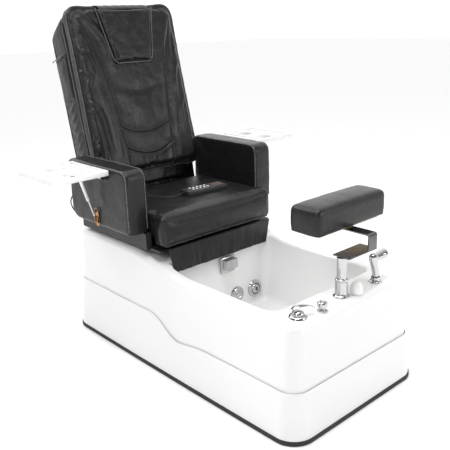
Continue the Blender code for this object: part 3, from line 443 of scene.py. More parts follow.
FINISH_OF = {"acrylic_white": ACRYLIC, "black_leather": LEATHER, "chrome": CHROME, "strip_steel": STRIP_STEEL,
             "black_steel": BLACK_STEEL, "tray_plastic": TRAY_PLASTIC, "black_plastic": BLACK_PLASTIC,
             "rubber": RUBBER, "cord_black": LEAD_RUBBER, "key_white": KEY_WHITE, "display_grey": DISPLAY,
             "brass": BRASS, "plywood": PLYWOOD}
fit(controller_lead, LEAD_RUBBER, "seat", "cord_black")
fit(arm_lead, LEAD_RUBBER, "seat", "cord_black")
print("finishes:", len(FINISH_OF) + 2)

# %% [markdown]
# ## Moulded pieces that are already the right shape
# Frames, rails, pump, trays, stays, keys and the like keep their own mesh. They only get a finish, and a weld and
# a small bevel as modifiers, because no real edge is perfectly sharp and a bevel is what catches the light.

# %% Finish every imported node
EDGE_WIDTH = {"tray_right": 0.0016, "tray_left": 0.0016, "wall_spout": 0.002, "footrest_bracket": 0.0008,
              "remote_housing": 0.0009, "base_frame": 0.0015, "seat_frame": 0.001, "back_frame": 0.001}


def finish_nodes():
    for row in frame["record"]["subparts"]:
        node = nodes[row["node"]]
        for at in range(len(node.material_slots)):
            node.material_slots[at].material = FINISH_OF[row["material_slot"]]
        if "custom_normal" in node.data.attributes:
            node.data.attributes.remove(node.data.attributes["custom_normal"])
        node.data.polygons.foreach_set("use_smooth", [True] * len(node.data.polygons))
        weld = node.modifiers.new("one skin", "WELD")
        weld.merge_threshold = 0.00001
        round_edges(node, EDGE_WIDTH.get(row["node"], 0.0004), 2).modifiers[-1].harden_normals = True
    print("finished", len(nodes), "nodes")


finish_nodes()

# %% [markdown]
# ## Acrylic base
# The base is two vacuum-formed shells: a tub with its deck and foot basin, and a skirt with a wave in its top
# edge that hides the tub's lower half. Both are skins over rows of rounded outlines, the same outlines as the
# model's but with many more points, so that the gloss runs over them without facets.

# %% Outlines of the base
BASE_LENGTH, BASE_WIDTH, SIDE_BOW, CORNER_R = 1.476, 0.76, 0.012, 0.09
SKIRT_FRONT, SKIRT_REAR, SKIRT_LEAN, SKIRT_WALL = 0.198, 0.254, 0.0835, 0.006
TUB_INSET, TUB_LEAN, TUB_WALL, TUB_FOOT = 0.014, 0.057, 0.006, 0.0308
RIM_HEIGHT, PLATFORM_HEIGHT, PLATFORM_START, PLATFORM_END = 0.444, 0.505, -0.105, 0.25
EDGE_R, BASIN_LIP_R, BASIN_BOTTOM_R = 0.028, 0.014, 0.03
BASIN_HALF_WIDTH, BASIN_FRONT, BASIN_REAR, BASIN_CORNER_R = 0.288, -0.553, 0.055, 0.05
BASIN_FLOOR, BASIN_LEAN = 0.135, 0.07
WAVE_START, WAVE_RUN, WAVE_RISE_START, WAVE_RISE_RUN, WAVE_DIP = 0.105, 0.185, -0.07, 0.17, 0.02
TRIM_HEIGHT = 0.018


def half_outline(half_width, front, rear, radius, side_split):
    """Right half of a rounded outline, from the middle of the front edge to the middle of the rear edge."""
    x, r = half_width, radius
    points = [(mix(0, x - r, k / 12), front) for k in range(12)]
    points += [(x - r + r * sin(a), front + r - r * cos(a)) for a in quarter(12)[:-1]]
    points += [(x, mix(front + r, side_split, k / 20)) for k in range(20)]
    long_rear = rear - side_split > radius * 2
    if long_rear:
        points += [(x, mix(side_split, rear - r, k / 24)) for k in range(24)]
    steps = 12 if long_rear else 24
    points += [(x - r + r * cos(a), rear - r + r * sin(a)) for a in quarter(steps)[:-1]]
    points += [(mix(x - r, 0, k / steps), rear) for k in range(steps)]
    points.append((0.0, rear))
    return points + [(-a, b) for a, b in points[-2:0:-1]]


def base_loop(inset):
    half = BASE_LENGTH / 2
    loop = half_outline(BASE_WIDTH / 2 - inset, inset - half, half - inset, max(CORNER_R - inset, 0.004),
                        BASIN_REAR - BASIN_CORNER_R)
    return [(x * (1 + SIDE_BOW * (1 - (y / half) ** 2)), y) for x, y in loop]


def basin_loop(inset):
    return half_outline(BASIN_HALF_WIDTH - inset, BASIN_FRONT + inset, BASIN_REAR - inset,
                        max(BASIN_CORNER_R - inset, 0.004), BASIN_REAR - BASIN_CORNER_R)


def deck_height(y):
    return mix(RIM_HEIGHT, PLATFORM_HEIGHT, ease((y - PLATFORM_START) / (PLATFORM_END - PLATFORM_START)))


def skirt_height(y):
    """The wave: the edge drops towards the front, dips, and recovers a little."""
    drop = ease((WAVE_START - y) / WAVE_RUN)
    recover = ease((WAVE_RISE_START - y) / WAVE_RISE_RUN)
    return SKIRT_REAR - drop * (SKIRT_REAR - SKIRT_FRONT + WAVE_DIP) + recover * WAVE_DIP


def basin_wall(z):
    return BASIN_REAR - BASIN_LEAN * (RIM_HEIGHT - BASIN_LIP_R - z)


# %% Tub
def tub_rings():
    rim_inset = TUB_INSET + TUB_LEAN * RIM_HEIGHT
    for z in (TUB_FOOT, 0.1, 0.17, 0.25, 0.33, 0.38):
        yield [(x, y, z) for x, y in base_loop(TUB_INSET + TUB_LEAN * z)]
    for a in quarter(8):
        loop = base_loop(rim_inset + EDGE_R * (1 - cos(a)))
        yield [(x, y, deck_height(y) - EDGE_R * (1 - sin(a))) for x, y in loop]
    outer, lip = base_loop(rim_inset + EDGE_R), basin_loop(-BASIN_LIP_R)
    for k in range(1, 17):
        flat = [(mix(xo, xi, k / 16), mix(yo, yi, k / 16)) for (xo, yo), (xi, yi) in zip(outer, lip)]
        yield [(x, y, deck_height(y)) for x, y in flat]
    for a in quarter(7)[1:]:
        loop = basin_loop(-BASIN_LIP_R * (1 - sin(a)))
        yield [(x, y, deck_height(y) - BASIN_LIP_R * (1 - cos(a))) for x, y in loop]
    top, foot = RIM_HEIGHT - BASIN_LIP_R, BASIN_FLOOR + BASIN_BOTTOM_R
    for k in range(1, 9):
        z = mix(top, foot, k / 8)
        yield [(x, y, z) for x, y in basin_loop(BASIN_LEAN * (top - z))]
    low = BASIN_LEAN * (top - foot)
    for a in quarter(7)[1:]:
        loop = basin_loop(low + BASIN_BOTTOM_R * (1 - cos(a)))
        yield [(x, y, BASIN_FLOOR + BASIN_BOTTOM_R * (1 - sin(a))) for x, y in loop]
    floor = basin_loop(low + BASIN_BOTTOM_R)
    for share in (0.75, 0.5, 0.25, 0.05):
        yield [(x * share, mix(-0.25, y, share), BASIN_FLOOR) for x, y in floor]


def make_tub():
    bm = bmesh.new()
    rows = [[bm.verts.new(p) for p in ring] for ring in tub_rings()]
    count = len(rows[0])
    for low, high in zip(rows, rows[1:]):
        for i in range(count):
            j = (i + 1) % count
            bm.faces.new((low[i], low[j], high[j], high[i]))
    bm.faces.new(rows[-1])
    mesh = bpy.data.meshes.new("acrylic_tub")
    bm.to_mesh(mesh)
    bm.free()
    tub = link("acrylic_tub", mesh)
    tub.data.shade_smooth()
    thicken(tub, "moulded wall", TUB_WALL, -1)
    return fit(tub, ACRYLIC, "base", "acrylic_white", "tub_shell")


make_tub()


# %% Skirt and floor trim
def band(name, section):
    """A closed band round the base: section gives its (inset, height) corners at each Y."""
    floor_line = base_loop(0)
    rings = []
    for k in range(len(section(0.0))):
        loops = {}
        ring = []
        for i, (_, y) in enumerate(floor_line):
            inset, z = section(y)[k]
            loop = loops.setdefault(round(inset, 6), base_loop(inset))
            ring.append((*loop[i], z))
        rings.append(ring)
    return skin(name, rings, closed_run=True)


def skirt_section(y):
    top = skirt_height(y)
    inset, foot = SKIRT_LEAN * top, TRIM_HEIGHT + 0.0004
    low = SKIRT_LEAN * foot
    bulge = [(mix(low, inset, s) - 0.0012 * sin(pi * s), mix(foot, top - 0.006, s)) for s in (0, 0.25, 0.5, 0.75)]
    lip = [(inset + 0.003 * (1 - cos(a)), top - 0.006 + 0.006 * sin(a)) for a in quarter(4)]
    return bulge + lip + [(inset + SKIRT_WALL, top - 0.002), (low + SKIRT_WALL, foot)]


def trim_section(y):
    return [(0.0, 0.0), (-0.0018, 0.0015), (-0.0025, 0.004), (-0.0025, 0.015), (-0.0016, 0.0172),
            (0.0, TRIM_HEIGHT), (0.007, TRIM_HEIGHT), (0.007, 0.0)]


fit(band("acrylic_skirt", skirt_section), ACRYLIC, "base", "acrylic_white", "skirt_casing")
fit(band("floor_seal", trim_section), RUBBER, "base", "rubber", "floor_trim")

# %% [markdown]
# ## Turned chrome
# Rings, knobs, sleeves and escutcheons come off a lathe, so each is a profile swept round an axis with the Screw
# modifier, then bevelled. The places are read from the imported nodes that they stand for.

# %% Turned fittings
SQUARE_TO_WALL = (radians(90) - atan(BASIN_LEAN), 0, 0)


def turned(name, profile, at, rotation=(0, 0, 0), soft=0.0008):
    """profile is (radius, height) from the top of the outside downwards."""
    mesh = bpy.data.meshes.new(name)
    mesh.from_pydata([(r, 0.0, z) for r, z in profile], [(i, i + 1) for i in range(len(profile) - 1)], [])
    piece = link(name, mesh)
    screw = piece.modifiers.new("turned", "SCREW")
    screw.steps = screw.render_steps = 72
    screw.use_merge_vertices = True
    screw.merge_threshold = 0.00001
    round_edges(piece, soft, 3, 25)
    settle(piece)
    piece.location = at
    piece.rotation_euler = rotation
    outward(piece)
    return piece


def foot_of(node):
    low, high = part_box(node)
    return Vector(((low.x + high.x) / 2, (low.y + high.y) / 2, low.z))


def arc(radius, height, centre_z, start, end, steps):
    angles = [radians(mix(start, end, k / steps)) for k in range(steps + 1)]
    return [(radius * sin(a), centre_z + height * cos(a)) for a in angles]


CUP_HEIGHT, SLEEVE_BORE, SLEEVE_R = 0.02, 0.0196, 0.023
TURNED = (
    ("mixer_escutcheon", "mixer_base", "base", CHROME, "chrome", 0.0008,
     [(0.0, 0.01), (0.022, 0.01), (0.031, 0.006), (0.034, 0.0), (0.0, 0.0)]),
    ("mixer_crown", "mixer_hub", "mixer_hub", CHROME, "chrome", 0.0008,
     arc(0.0225, 0.012, 0.004, 0, 90, 10) + [(0.0225, 0.0), (0.0, 0.0)]),
    ("waste_knob", "drain_knob", "drain_knob", CHROME, "chrome", 0.0008,
     [(0.0, 0.035), (0.0085, 0.035), (0.0095, 0.0365), (0.015, 0.035), (0.018, 0.032), (0.019, 0.028),
      (0.0187, 0.0215), (0.018, 0.015), (0.013, 0.012), (0.01, 0.0095), (0.011, 0.0055), (0.016, 0.0035),
      (0.019, 0.0025), (0.019, 0.0), (0.0, 0.0)]),
    ("air_push_button", "air_button", "air_button", TRAY_PLASTIC, "tray_plastic", 0.0008,
     arc(0.0235, 0.028, 0.02, 0, 90, 12) + [(0.0235, 0.01), (0.023, 0.0), (0.0, 0.0)]),
    ("shower_socket", "shower_holder", "base", CHROME, "chrome", 0.0008,
     [(0.0, 0.006), (0.0145, 0.006), (0.0165, CUP_HEIGHT), (0.0185, CUP_HEIGHT), (0.0187, 0.01), (0.022, 0.0055),
      (0.0262, 0.0035), (0.027, 0.0), (0.0, 0.0)]),
    ("footrest_sleeve", "footrest_post", "base", CHROME, "chrome", 0.0005,
     [(SLEEVE_BORE, 0.072), (0.0235, 0.072), (0.0258, 0.07), (0.026, 0.064), (0.0245, 0.0628),
      (SLEEVE_R, 0.061), (SLEEVE_R, 0.014), (0.0245, 0.008), (0.029, 0.0052), (0.031, 0.003), (0.031, 0.0),
      (SLEEVE_BORE, 0.0), (SLEEVE_BORE, 0.072)]),
    ("waste_strainer", "drain_strainer", "base", CHROME, "chrome", 0.0008,
     [(0.0, 0.0075)] + [(0.006 + 0.004 * k, 0.0072 - 0.0008 * (k % 2)) for k in range(5)]
     + [(0.036, 0.004), (0.04, 0.0), (0.0, 0.0)]))

for name, node, body, finish, slot, soft, profile in TURNED:
    fit(turned(name, profile, foot_of(node), soft=soft), finish, body, slot, node)


# %% Jets on the basin's rear wall
JET_X, SUCTION_X, JET_Z, JET_R = 0.198, 0.085, 0.209, 0.042


JETS = (
    ("jet_rosette", "jet_ring", JET_X, "base", "chrome",
     [(0.0262, 0.01), (0.0275, 0.0122), (0.032, 0.0128), (0.037, 0.0105), (0.0405, 0.0065), (JET_R, 0.002),
      (JET_R, 0.0), (0.0262, 0.0), (0.0262, 0.01)]),
    ("jet_eye", "jet_nozzle", JET_X, "jet_nozzle", "black_plastic",
     [(0.0, 0.004), (0.0075, 0.005), (0.0085, 0.0165), (0.011, 0.0178), (0.016, 0.017), (0.0205, 0.014),
      (0.0235, 0.0095), (0.0245, 0.005), (0.0245, 0.0), (0.0, 0.0)]),
    ("suction_grille", "suction_cover", SUCTION_X, "base", "chrome",
     [(0.0, 0.0115), (0.01, 0.0115), (0.011, 0.009), (0.015, 0.009), (0.016, 0.0112), (0.0205, 0.0105),
      (0.0215, 0.008), (0.0255, 0.0075), (0.0265, 0.0098), (0.032, 0.008), (0.0375, 0.0055), (0.041, 0.002),
      (0.041, 0.0), (0.0, 0.0)]))

for name, node, x, body, slot, profile in JETS:
    at = (x, basin_wall(JET_Z) - 0.0008, JET_Z)
    fit(turned(name, profile, at, SQUARE_TO_WALL, 0.0004), CHROME, body, slot, node)

# %% [markdown]
# ## Lever and hand shower
# The mixer's blade and the shower's handle are cast, so their section changes all the way along. Each is a skin
# over ellipses, and a subdivision surface rounds what lies between them.

# %% Mixer lever and hand shower
def ellipse(centre, side, rise, half, thick, count=24):
    angles = [2 * pi * k / count for k in range(count)]
    return [centre + side * half * cos(a) + rise * thick * sin(a) for a in angles]


def smoothed(piece):
    cage = piece.modifiers.new("smooth", "SUBSURF")
    cage.levels = cage.render_levels = 1
    return piece


# Along the lever from behind its pivot: run, rise, half width, half thickness
BLADE = ((-0.024, 0.0, 0.0095, 0.002), (-0.02, 0.0065, 0.0112, 0.003), (-0.01, 0.012, 0.0125, 0.0034),
         (0.005, 0.014, 0.013, 0.0034), (0.022, 0.013, 0.013, 0.0031), (0.04, 0.009, 0.0128, 0.0027),
         (0.056, 0.003, 0.0118, 0.0023), (0.068, -0.003, 0.0098, 0.0019))
# Up the handle: height, shift in X, half widths in X and Y
HANDLE = ((0.0, 0.0, 0.012, 0.012), (0.012, 0.0, 0.0132, 0.013), (0.03, -0.002, 0.0138, 0.0134),
          (0.052, -0.007, 0.0158, 0.0148), (0.076, -0.015, 0.0192, 0.0168), (0.096, -0.019, 0.0208, 0.0172),
          (0.108, -0.019, 0.0185, 0.015), (0.113, -0.017, 0.012, 0.0095))
# Along the shower's head: run, radius
ROSE = ((0.0, 0.0105), (0.006, 0.0148), (0.02, 0.016), (0.04, 0.0172), (0.058, 0.0196), (0.07, 0.021),
        (0.0775, 0.0206), (0.0785, 0.0165), (0.0765, 0.0155))
ACROSS, BACKWARDS, UP = Vector((1, 0, 0)), Vector((0, 1, 0)), Vector((0, 0, 1))


def make_mixer_lever():
    heading = Vector((cos(radians(-20)), sin(radians(-20)), 0.0))
    side = Vector((-heading.y, heading.x, 0.0))
    start = foot_of("mixer_hub") + UP * 0.0167
    rings = [ellipse(start + heading * run + UP * rise, side, UP, half, thick) for run, rise, half, thick in BLADE]
    blade = smoothed(skin("mixer_blade", rings, cap_ends=True))
    return fit(blade, CHROME, "mixer_lever", "chrome", "mixer_lever")


def make_hand_shower():
    foot = foot_of("shower_holder") + UP * 0.0075
    handle = [ellipse(foot + Vector((shift, 0, up)), ACROSS, BACKWARDS, rx, ry, 28) for up, shift, rx, ry in HANDLE]
    fit(smoothed(skin("shower_handle", handle, cap_ends=True)), CHROME, "hand_shower", "chrome", "hand_shower")
    start, way = foot + Vector((-0.024, 0, 0.093)), Vector((0.076, 0, 0.002)).normalized()
    rise = way.cross(BACKWARDS) * -1
    head = [ellipse(start + way * run, BACKWARDS, rise, radius, radius, 28) for run, radius in ROSE]
    fit(smoothed(skin("shower_rose", head, cap_ends=True)), CHROME, "hand_shower", "chrome")


make_mixer_lever()
make_hand_shower()

# %% [markdown]
# ## Stuffed leather
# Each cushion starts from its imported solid: the mesh is copied, voxel-remeshed so that every face is the same
# small size, and swollen by a cloth simulation with inner pressure and no gravity. That gives the slack, uneven
# skin that leather has over foam. How far a point may move is capped, so the piece stays in its space. Seams,
# folds and puckers are pressed in afterwards, as smooth ridges and valleys along drawn lines.

# %% Leather tools
def positions(piece):
    flat = np.empty(len(piece.data.vertices) * 3)
    piece.data.vertices.foreach_get("co", flat)
    return flat.reshape(-1, 3)


def facing(piece):
    flat = np.empty(len(piece.data.vertices) * 3)
    piece.data.vertex_normals.foreach_get("vector", flat)
    return flat.reshape(-1, 3)


def place_points(piece, points):
    piece.data.vertices.foreach_set("co", points.ravel())
    piece.data.update()


def even_faces(piece, voxel):
    """Rebuilds a closed mesh from small faces of one size."""
    remesh = piece.modifiers.new("even faces", "REMESH")
    remesh.mode = "VOXEL"
    remesh.voxel_size = voxel
    settle(piece)


def blank(name, node, voxel, shrink=0.0):
    """A fine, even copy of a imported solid, slightly smaller, ready to be stuffed."""
    piece = link(name, nodes[node].data.copy())
    even_faces(piece, voxel)
    relax = piece.modifiers.new("relax", "SMOOTH")
    relax.iterations = 4
    settle(piece)
    place_points(piece, positions(piece) - facing(piece) * shrink)
    piece.data.shade_smooth()
    return piece


def stuff(piece, pressure, cap):
    """Swells the skin with inner pressure for twenty frames, and lets no point move further than cap."""
    start = positions(piece)
    cloth = piece.modifiers.new("stuffing", "CLOTH")
    cloth.settings.quality = 4
    cloth.settings.mass = 0.4
    cloth.settings.tension_stiffness = cloth.settings.compression_stiffness = 12
    cloth.settings.shear_stiffness = 6
    cloth.settings.bending_stiffness = 0.6
    cloth.settings.use_pressure = True
    cloth.settings.uniform_pressure_force = pressure
    cloth.settings.effector_weights.gravity = 0
    cloth.collision_settings.use_collision = False
    cloth.point_cache.frame_start = 1
    cloth.point_cache.frame_end = 20
    for step in range(1, 21):
        bpy.context.scene.frame_set(step)
    settle(piece)
    bpy.context.scene.frame_set(1)
    move = positions(piece) - start
    far = np.linalg.norm(move, axis=1, keepdims=True)
    place_points(piece, start + move * np.minimum(1.0, cap / np.maximum(far, 1e-9)))
    print(piece.name, "swelled by up to", round(float(far.max()) * 1000, 1), "mm")
    return piece


def finer(piece):
    return settle(smoothed(piece))


def square_foot(points, low, high, radius):
    """Moves the points of a rounded lower edge outwards, because leather is pulled square round a board."""
    centre, half = (low + high) / 2, (high - low) / 2
    sunk = np.clip(radius - (points[:, 2] - low.z), 0, radius)
    inset = 0.8 * (radius - np.sqrt(radius ** 2 - sunk ** 2))
    for axis in (0, 1):
        points[:, axis] = centre[axis] + (points[:, axis] - centre[axis]) * half[axis] / (half[axis] - inset)
    return points


def fill_out(points, low, high):
    """Stretches the points a little, so that their box is the given one."""
    a, b = points.min(axis=0), points.max(axis=0)
    return np.array(low) + (points - a) / (b - a) * (np.array(high) - np.array(low))


def along(points, line, width, height, fade=True):
    """A smooth ridge (height > 0) or valley (height < 0) along a line in the plane, as one number per point."""
    line = np.array([tuple(p) for p in line])
    lengths = np.concatenate([[0.0], np.cumsum(np.linalg.norm(np.diff(line, axis=0), axis=1))])
    best, where = np.full(len(points), 1e9), np.zeros(len(points))
    for i in range(len(line) - 1):
        step = line[i + 1] - line[i]
        t = np.clip((points - line[i]) @ step / (step @ step), 0, 1)
        gap = np.linalg.norm(points - line[i] - t[:, None] * step, axis=1)
        near = gap < best
        best = np.where(near, gap, best)
        where = np.where(near, lengths[i] + t * (lengths[i + 1] - lengths[i]), where)
    shape = np.exp(-(best / width) ** 2) * height
    if fade:
        shape = shape * np.sin(pi * np.clip(where / lengths[-1], 0.02, 0.98)) ** 0.6
    return shape


def press(piece, relief):
    """Moves every point along its normal by its own amount."""
    place_points(piece, positions(piece) + facing(piece) * relief[:, None])


def flat_line(points):
    return [(p.x, p.y) for p in smooth_line([(a, b, 0.0) for a, b in points], 8)]


def seam(points, line, depth=0.0032, width=0.0032):
    """A sewn seam: a narrow valley with the stuffing standing up on both sides of it."""
    return along(points, line, width, -depth, False) + along(points, line, width * 4.5, depth * 0.55, False)


def undulate(points, size, height, seed):
    """Slow uneven waves, the same on every run."""
    shift = Vector((seed * 7.3, seed * 3.1, seed * 5.7))
    return np.array([noise.noise(Vector(p) / size + shift) for p in points]) * height


# %% [markdown]
# ## Back
# The back leans by about thirteen degrees, so its pieces are drawn upright in its own frame, with X across it,
# Y through its thickness and Z up along it from the pivot, and then turned into place. The front cushion has a
# long seam down each side of its middle panel, two curved seams in the lumbar, soft folds that hang from its top
# corners and puckers along its piped edge.

# %% Back frame of reference
PIVOT, BACK_TILT = Vector((0.0, 0.612, 0.6)), radians(12.9)
LEANING = Matrix.Translation(PIVOT) @ Matrix.Rotation(-BACK_TILT, 4, "X")
UPRIGHT = LEANING.inverted()


def upright(points):
    turn = np.array(UPRIGHT)
    return points @ turn[:3, :3].T + turn[:3, 3]


def leaning(points):
    return [LEANING @ Vector(p) for p in points]


BACK_HALF, BACK_LOW, BACK_HIGH, BACK_FRONT = 0.3035, 0.124, 0.9095, -0.122
PANEL_SEAM = ((0.252, 0.85), (0.222, 0.778), (0.192, 0.7), (0.171, 0.585), (0.151, 0.445), (0.138, 0.3),
              (0.124, 0.15))
LUMBAR_SEAMS = (((-0.138, 0.345), (-0.08, 0.321), (0.0, 0.309), (0.08, 0.32), (0.14, 0.343)),
                ((-0.126, 0.244), (-0.066, 0.218), (0.004, 0.206), (0.074, 0.217), (0.134, 0.246)))
FOLDS = (
    (((-0.25, 0.872), (-0.196, 0.832), (-0.15, 0.776), (-0.122, 0.7), (-0.118, 0.63)), 0.018, 0.008),
    (((-0.268, 0.85), (-0.238, 0.79), (-0.214, 0.726), (-0.204, 0.65), (-0.2, 0.56)), 0.009, 0.0065),
    (((-0.284, 0.69), (-0.256, 0.704), (-0.234, 0.684), (-0.22, 0.64), (-0.214, 0.585)), 0.008, 0.0065),
    (((-0.288, 0.62), (-0.266, 0.612), (-0.25, 0.585), (-0.262, 0.56)), 0.007, 0.0055),
    (((-0.288, 0.52), (-0.272, 0.48), (-0.248, 0.446), (-0.232, 0.39), (-0.224, 0.3), (-0.217, 0.22)), 0.009,
     0.007),
    (((-0.288, 0.44), (-0.268, 0.438), (-0.25, 0.446)), 0.006, 0.0045),
    (((-0.184, 0.47), (-0.176, 0.4), (-0.166, 0.32), (-0.166, 0.23)), 0.011, 0.0045),
    (((-0.26, 0.38), (-0.25, 0.3), (-0.248, 0.2)), 0.01, 0.004),
    (((0.246, 0.8), (0.222, 0.7), (0.214, 0.6)), 0.01, 0.0035),
    (((0.27, 0.64), (0.24, 0.6), (0.222, 0.54), (0.214, 0.45)), 0.01, 0.004),
    (((0.266, 0.45), (0.238, 0.42), (0.216, 0.35), (0.204, 0.26)), 0.011, 0.004),
    (((-0.06, 0.196), (-0.052, 0.165), (-0.05, 0.14)), 0.008, 0.0035),
    (((0.016, 0.19), (0.02, 0.16), (0.026, 0.138)), 0.008, 0.003))


# %% Back cushion
def press_back(piece):
    local = upright(positions(piece))
    depth = local[:, 1].copy()
    local = fill_out(local, (-BACK_HALF, -1, BACK_LOW), (BACK_HALF, 1, BACK_HIGH))
    toward_front = -facing(piece) @ np.array(LEANING.to_3x3())[:, 1]
    pull = 0.8 * np.clip((toward_front + 0.15) / 0.4, 0, 1) * (depth > BACK_FRONT)
    local[:, 1] = mix(depth, BACK_FRONT, pull)
    place_points(piece, np.array([tuple(p) for p in leaning(local)]))
    points = positions(piece)
    front = np.clip((-local[:, 1] - 0.085) / 0.025, 0, 1)
    flat = local[:, [0, 2]]
    relief = np.zeros(len(points))
    for side in (-1, 1):
        relief += seam(flat, flat_line([(side * x, z) for x, z in PANEL_SEAM]), 0.005, 0.0038)
        bolster = [(side * x * 1.32, z) for x, z in PANEL_SEAM[1:]]
        relief += along(flat, flat_line(bolster), 0.034, 0.007)
    for curve in LUMBAR_SEAMS:
        relief += seam(flat, flat_line(curve), 0.0055, 0.0042)
    relief += along(flat, flat_line(((-0.11, 0.532), (0.0, 0.508), (0.11, 0.532))), 0.022, -0.005)
    relief += along(flat, flat_line(((-0.06, 0.425), (0.06, 0.425))), 0.07, 0.005)
    for line, width, height in FOLDS:
        relief += along(flat, flat_line(line), width, height)
        lee = [(x + width * 1.5, z) for x, z in line]
        relief += along(flat, flat_line(lee), width * 0.8, -height * 0.55)
    relief += undulate(points, 0.055, 0.0016, 3) + undulate(points, 0.02, 0.0005, 4)
    press(piece, relief * front + undulate(points, 0.05, 0.0012, 5) * (1 - front))


def make_back_cushion():
    piece = blank("back_pad", "back_cushion", 0.0062, 0.004)
    stuff(piece, 4.0, 0.012)
    press_back(finer(piece))
    return fit(piece, LEATHER, "back", "black_leather", "back_cushion")


make_back_cushion()


def rounded_loop(half_low, half_high, low, high, radius, steps=10):
    """An upright rounded outline in X and Z whose sides taper."""
    loop = []
    for cx, cz, start in ((half_low - radius, high - radius, 0), (radius - half_low, high - radius, 90),
                          (radius - half_low, low + radius, 180), (half_low - radius, low + radius, 270)):
        for k in range(steps + 1):
            a = radians(start + 90 * k / steps)
            x, z = cx + radius * cos(a), cz + radius * sin(a)
            loop.append((x * mix(1.0, half_high / half_low, (z - low) / (high - low)), z))
    return loop


def piping(name, line, radius, body, closed=False):
    # Every piping line gets the lighter grey finish, a painted highlight on black leather.
    return fit(tube(name, line, radius, closed), PIPING_PAINTED_HIGHLIGHT, body, "black_leather")


def make_back_piping():
    loop = finely(rounded_loop(0.315, 0.303, 0.114, 0.919, 0.064), 0.008)
    line = leaning([(x, -0.112, z) for x, z in loop])
    piping("back_pad_piping", hug(bpy.data.objects["back_pad"], line, 0.002, True), 0.0028, "back", True)


make_back_piping()

# %% [markdown]
# ## Side roll and rear cover
# Behind the front cushion a padded roll runs all round the back, and behind that sits the leather-covered rear
# cover. On its right side a pocket is sewn on. The cover is a skin over rounded outlines, and the pocket, its
# gathered foot and the soft dents are moved into its side face, because they are one with the leather there.

# %% Side roll
def make_side_roll():
    piece = blank("back_side_roll", "side_roll", 0.0064, 0.001)
    stuff(piece, 2.5, 0.006)
    points = positions(piece)
    press(piece, undulate(points, 0.06, 0.002, 11) + undulate(points, 0.022, 0.0008, 12))
    smoothed(piece)
    return fit(piece, LEATHER, "back", "black_leather", "side_roll")


make_side_roll()


# %% Rear cover with its side pocket
SHELL_HALF, SHELL_DEPTH, SHELL_LOW, SHELL_HIGH, SHELL_WALL = 0.27, 0.13, 0.06, 0.895, 0.008
POCKET_TOP = ((0.128, 0.708), (0.08, 0.716), (0.016, 0.722))
POCKET_FOOT = ((0.126, 0.507), (0.07, 0.512), (0.012, 0.516))


def shell_loop(inset, drop):
    """The cover's outline with its long sides cut into short steps, so that detail can be moved into them."""
    half = SHELL_HALF - inset
    return finely(rounded_loop(half, half - 0.008, SHELL_LOW + inset, SHELL_HIGH - drop, 0.045, 12), 0.006)


def evenly(loop, count):
    """A given number of points, spread evenly over an outline."""
    return [loop[round(i * len(loop) / count) % len(loop)] for i in range(count)]


def shell_rings():
    key = ((0.0, 0.0, 0.0), (0.016, 0.0, 0.0), (0.05, 0.0, 0.012), (0.1, 0.004, 0.034), (0.116, 0.007, 0.044),
           (0.125, 0.013, 0.054), (0.129, 0.02, 0.062), (0.13, 0.034, 0.076))
    count = len(shell_loop(0.0, 0.0))
    for (ya, ia, da), (yb, ib, db) in zip(key, key[1:]):
        steps = max(1, round((yb - ya) / 0.006))
        for k in range(steps):
            t = k / steps
            yield [(at, mix(ya, yb, t)) for at in evenly(shell_loop(mix(ia, ib, t), mix(da, db, t)), count)]
    loop = evenly(shell_loop(*key[-1][1:]), count)
    for share in (1.0, 0.94, 0.86, 0.7, 0.5, 0.3, 0.12):
        bow = 0.004 * (1 - share ** 2)
        yield [((x * share, mix(0.45, z, share)), SHELL_DEPTH + bow) for x, z in loop]


def press_cover(piece):
    points = positions(piece)
    side = np.clip((-points[:, 0] - 0.235) / 0.02, 0, 1) * np.clip(points[:, 1] / 0.012, 0, 1)
    flat = points[:, [1, 2]]
    z = flat[:, 1]
    inside = np.clip((0.714 - z) / 0.004, 0, 1) * np.clip((z - 0.512) / 0.004, 0, 1)
    relief = inside * 0.005 + along(flat, POCKET_TOP, 0.004, 0.0035, False)
    relief += along(flat, POCKET_FOOT, 0.004, -0.003, False)
    relief += along(flat, ((0.07, 0.69), (0.06, 0.6)), 0.03, 0.004)
    for k in range(7):
        top = 0.478 - k * 0.046
        relief += along(flat, flat_line(((0.118, top), (0.07, top - 0.012), (0.02, top + 0.02))), 0.0095, 0.005)
    relief = relief * side + undulate(points, 0.07, 0.0022, 21) + undulate(points, 0.024, 0.0007, 22)
    rim = np.clip(points[:, 1] / 0.01, 0, 1)
    press(piece, relief * rim)


def make_rear_cover():
    rings = [[(x, y, z) for (x, z), y in ring] for ring in shell_rings()]
    piece = skin("rear_cover", rings)
    bm = bmesh.new()
    bm.from_mesh(piece.data)
    bmesh.ops.holes_fill(bm, edges=[e for e in bm.edges if e.is_boundary and e.verts[0].co.y > 0.1], sides=0)
    bm.to_mesh(piece.data)
    bm.free()
    outward(piece)
    if piece.data.polygons[-1].normal.y < 0:
        piece.data.flip_normals()
    press_cover(piece)
    thicken(piece, "cover wall", SHELL_WALL, -1)
    piece.data.transform(LEANING)
    return fit(piece, LEATHER, "back", "black_leather", "back_shell")


make_rear_cover()
hem = [(-0.2755 + 0.0045 * abs(z - 0.716) * 20, y, z) for y, z in flat_line(POCKET_TOP)]
piping("pocket_hem", leaning(hem), 0.0022, "back")
rear_seam = [(x, 0.121, z) for x, z in rounded_loop(0.262, 0.254, 0.069, 0.846, 0.045)]
piping("rear_cover_piping", leaning(rear_seam), 0.0026, "back", True)

# %% [markdown]
# ## Headrest flap
# A thin weighted pad hangs over the top of the back by a leather strap. It lifts about its top seam, so the pad
# moves with its own body, and the strap is a fixed strip between the two.

# %% Headrest flap
FLAP = ((-0.157, 0.893), (-0.106, 0.64), (0.106, 0.64), (0.157, 0.893))
STRAP_HALF, STRAP_THICKNESS = 0.138, 0.0016


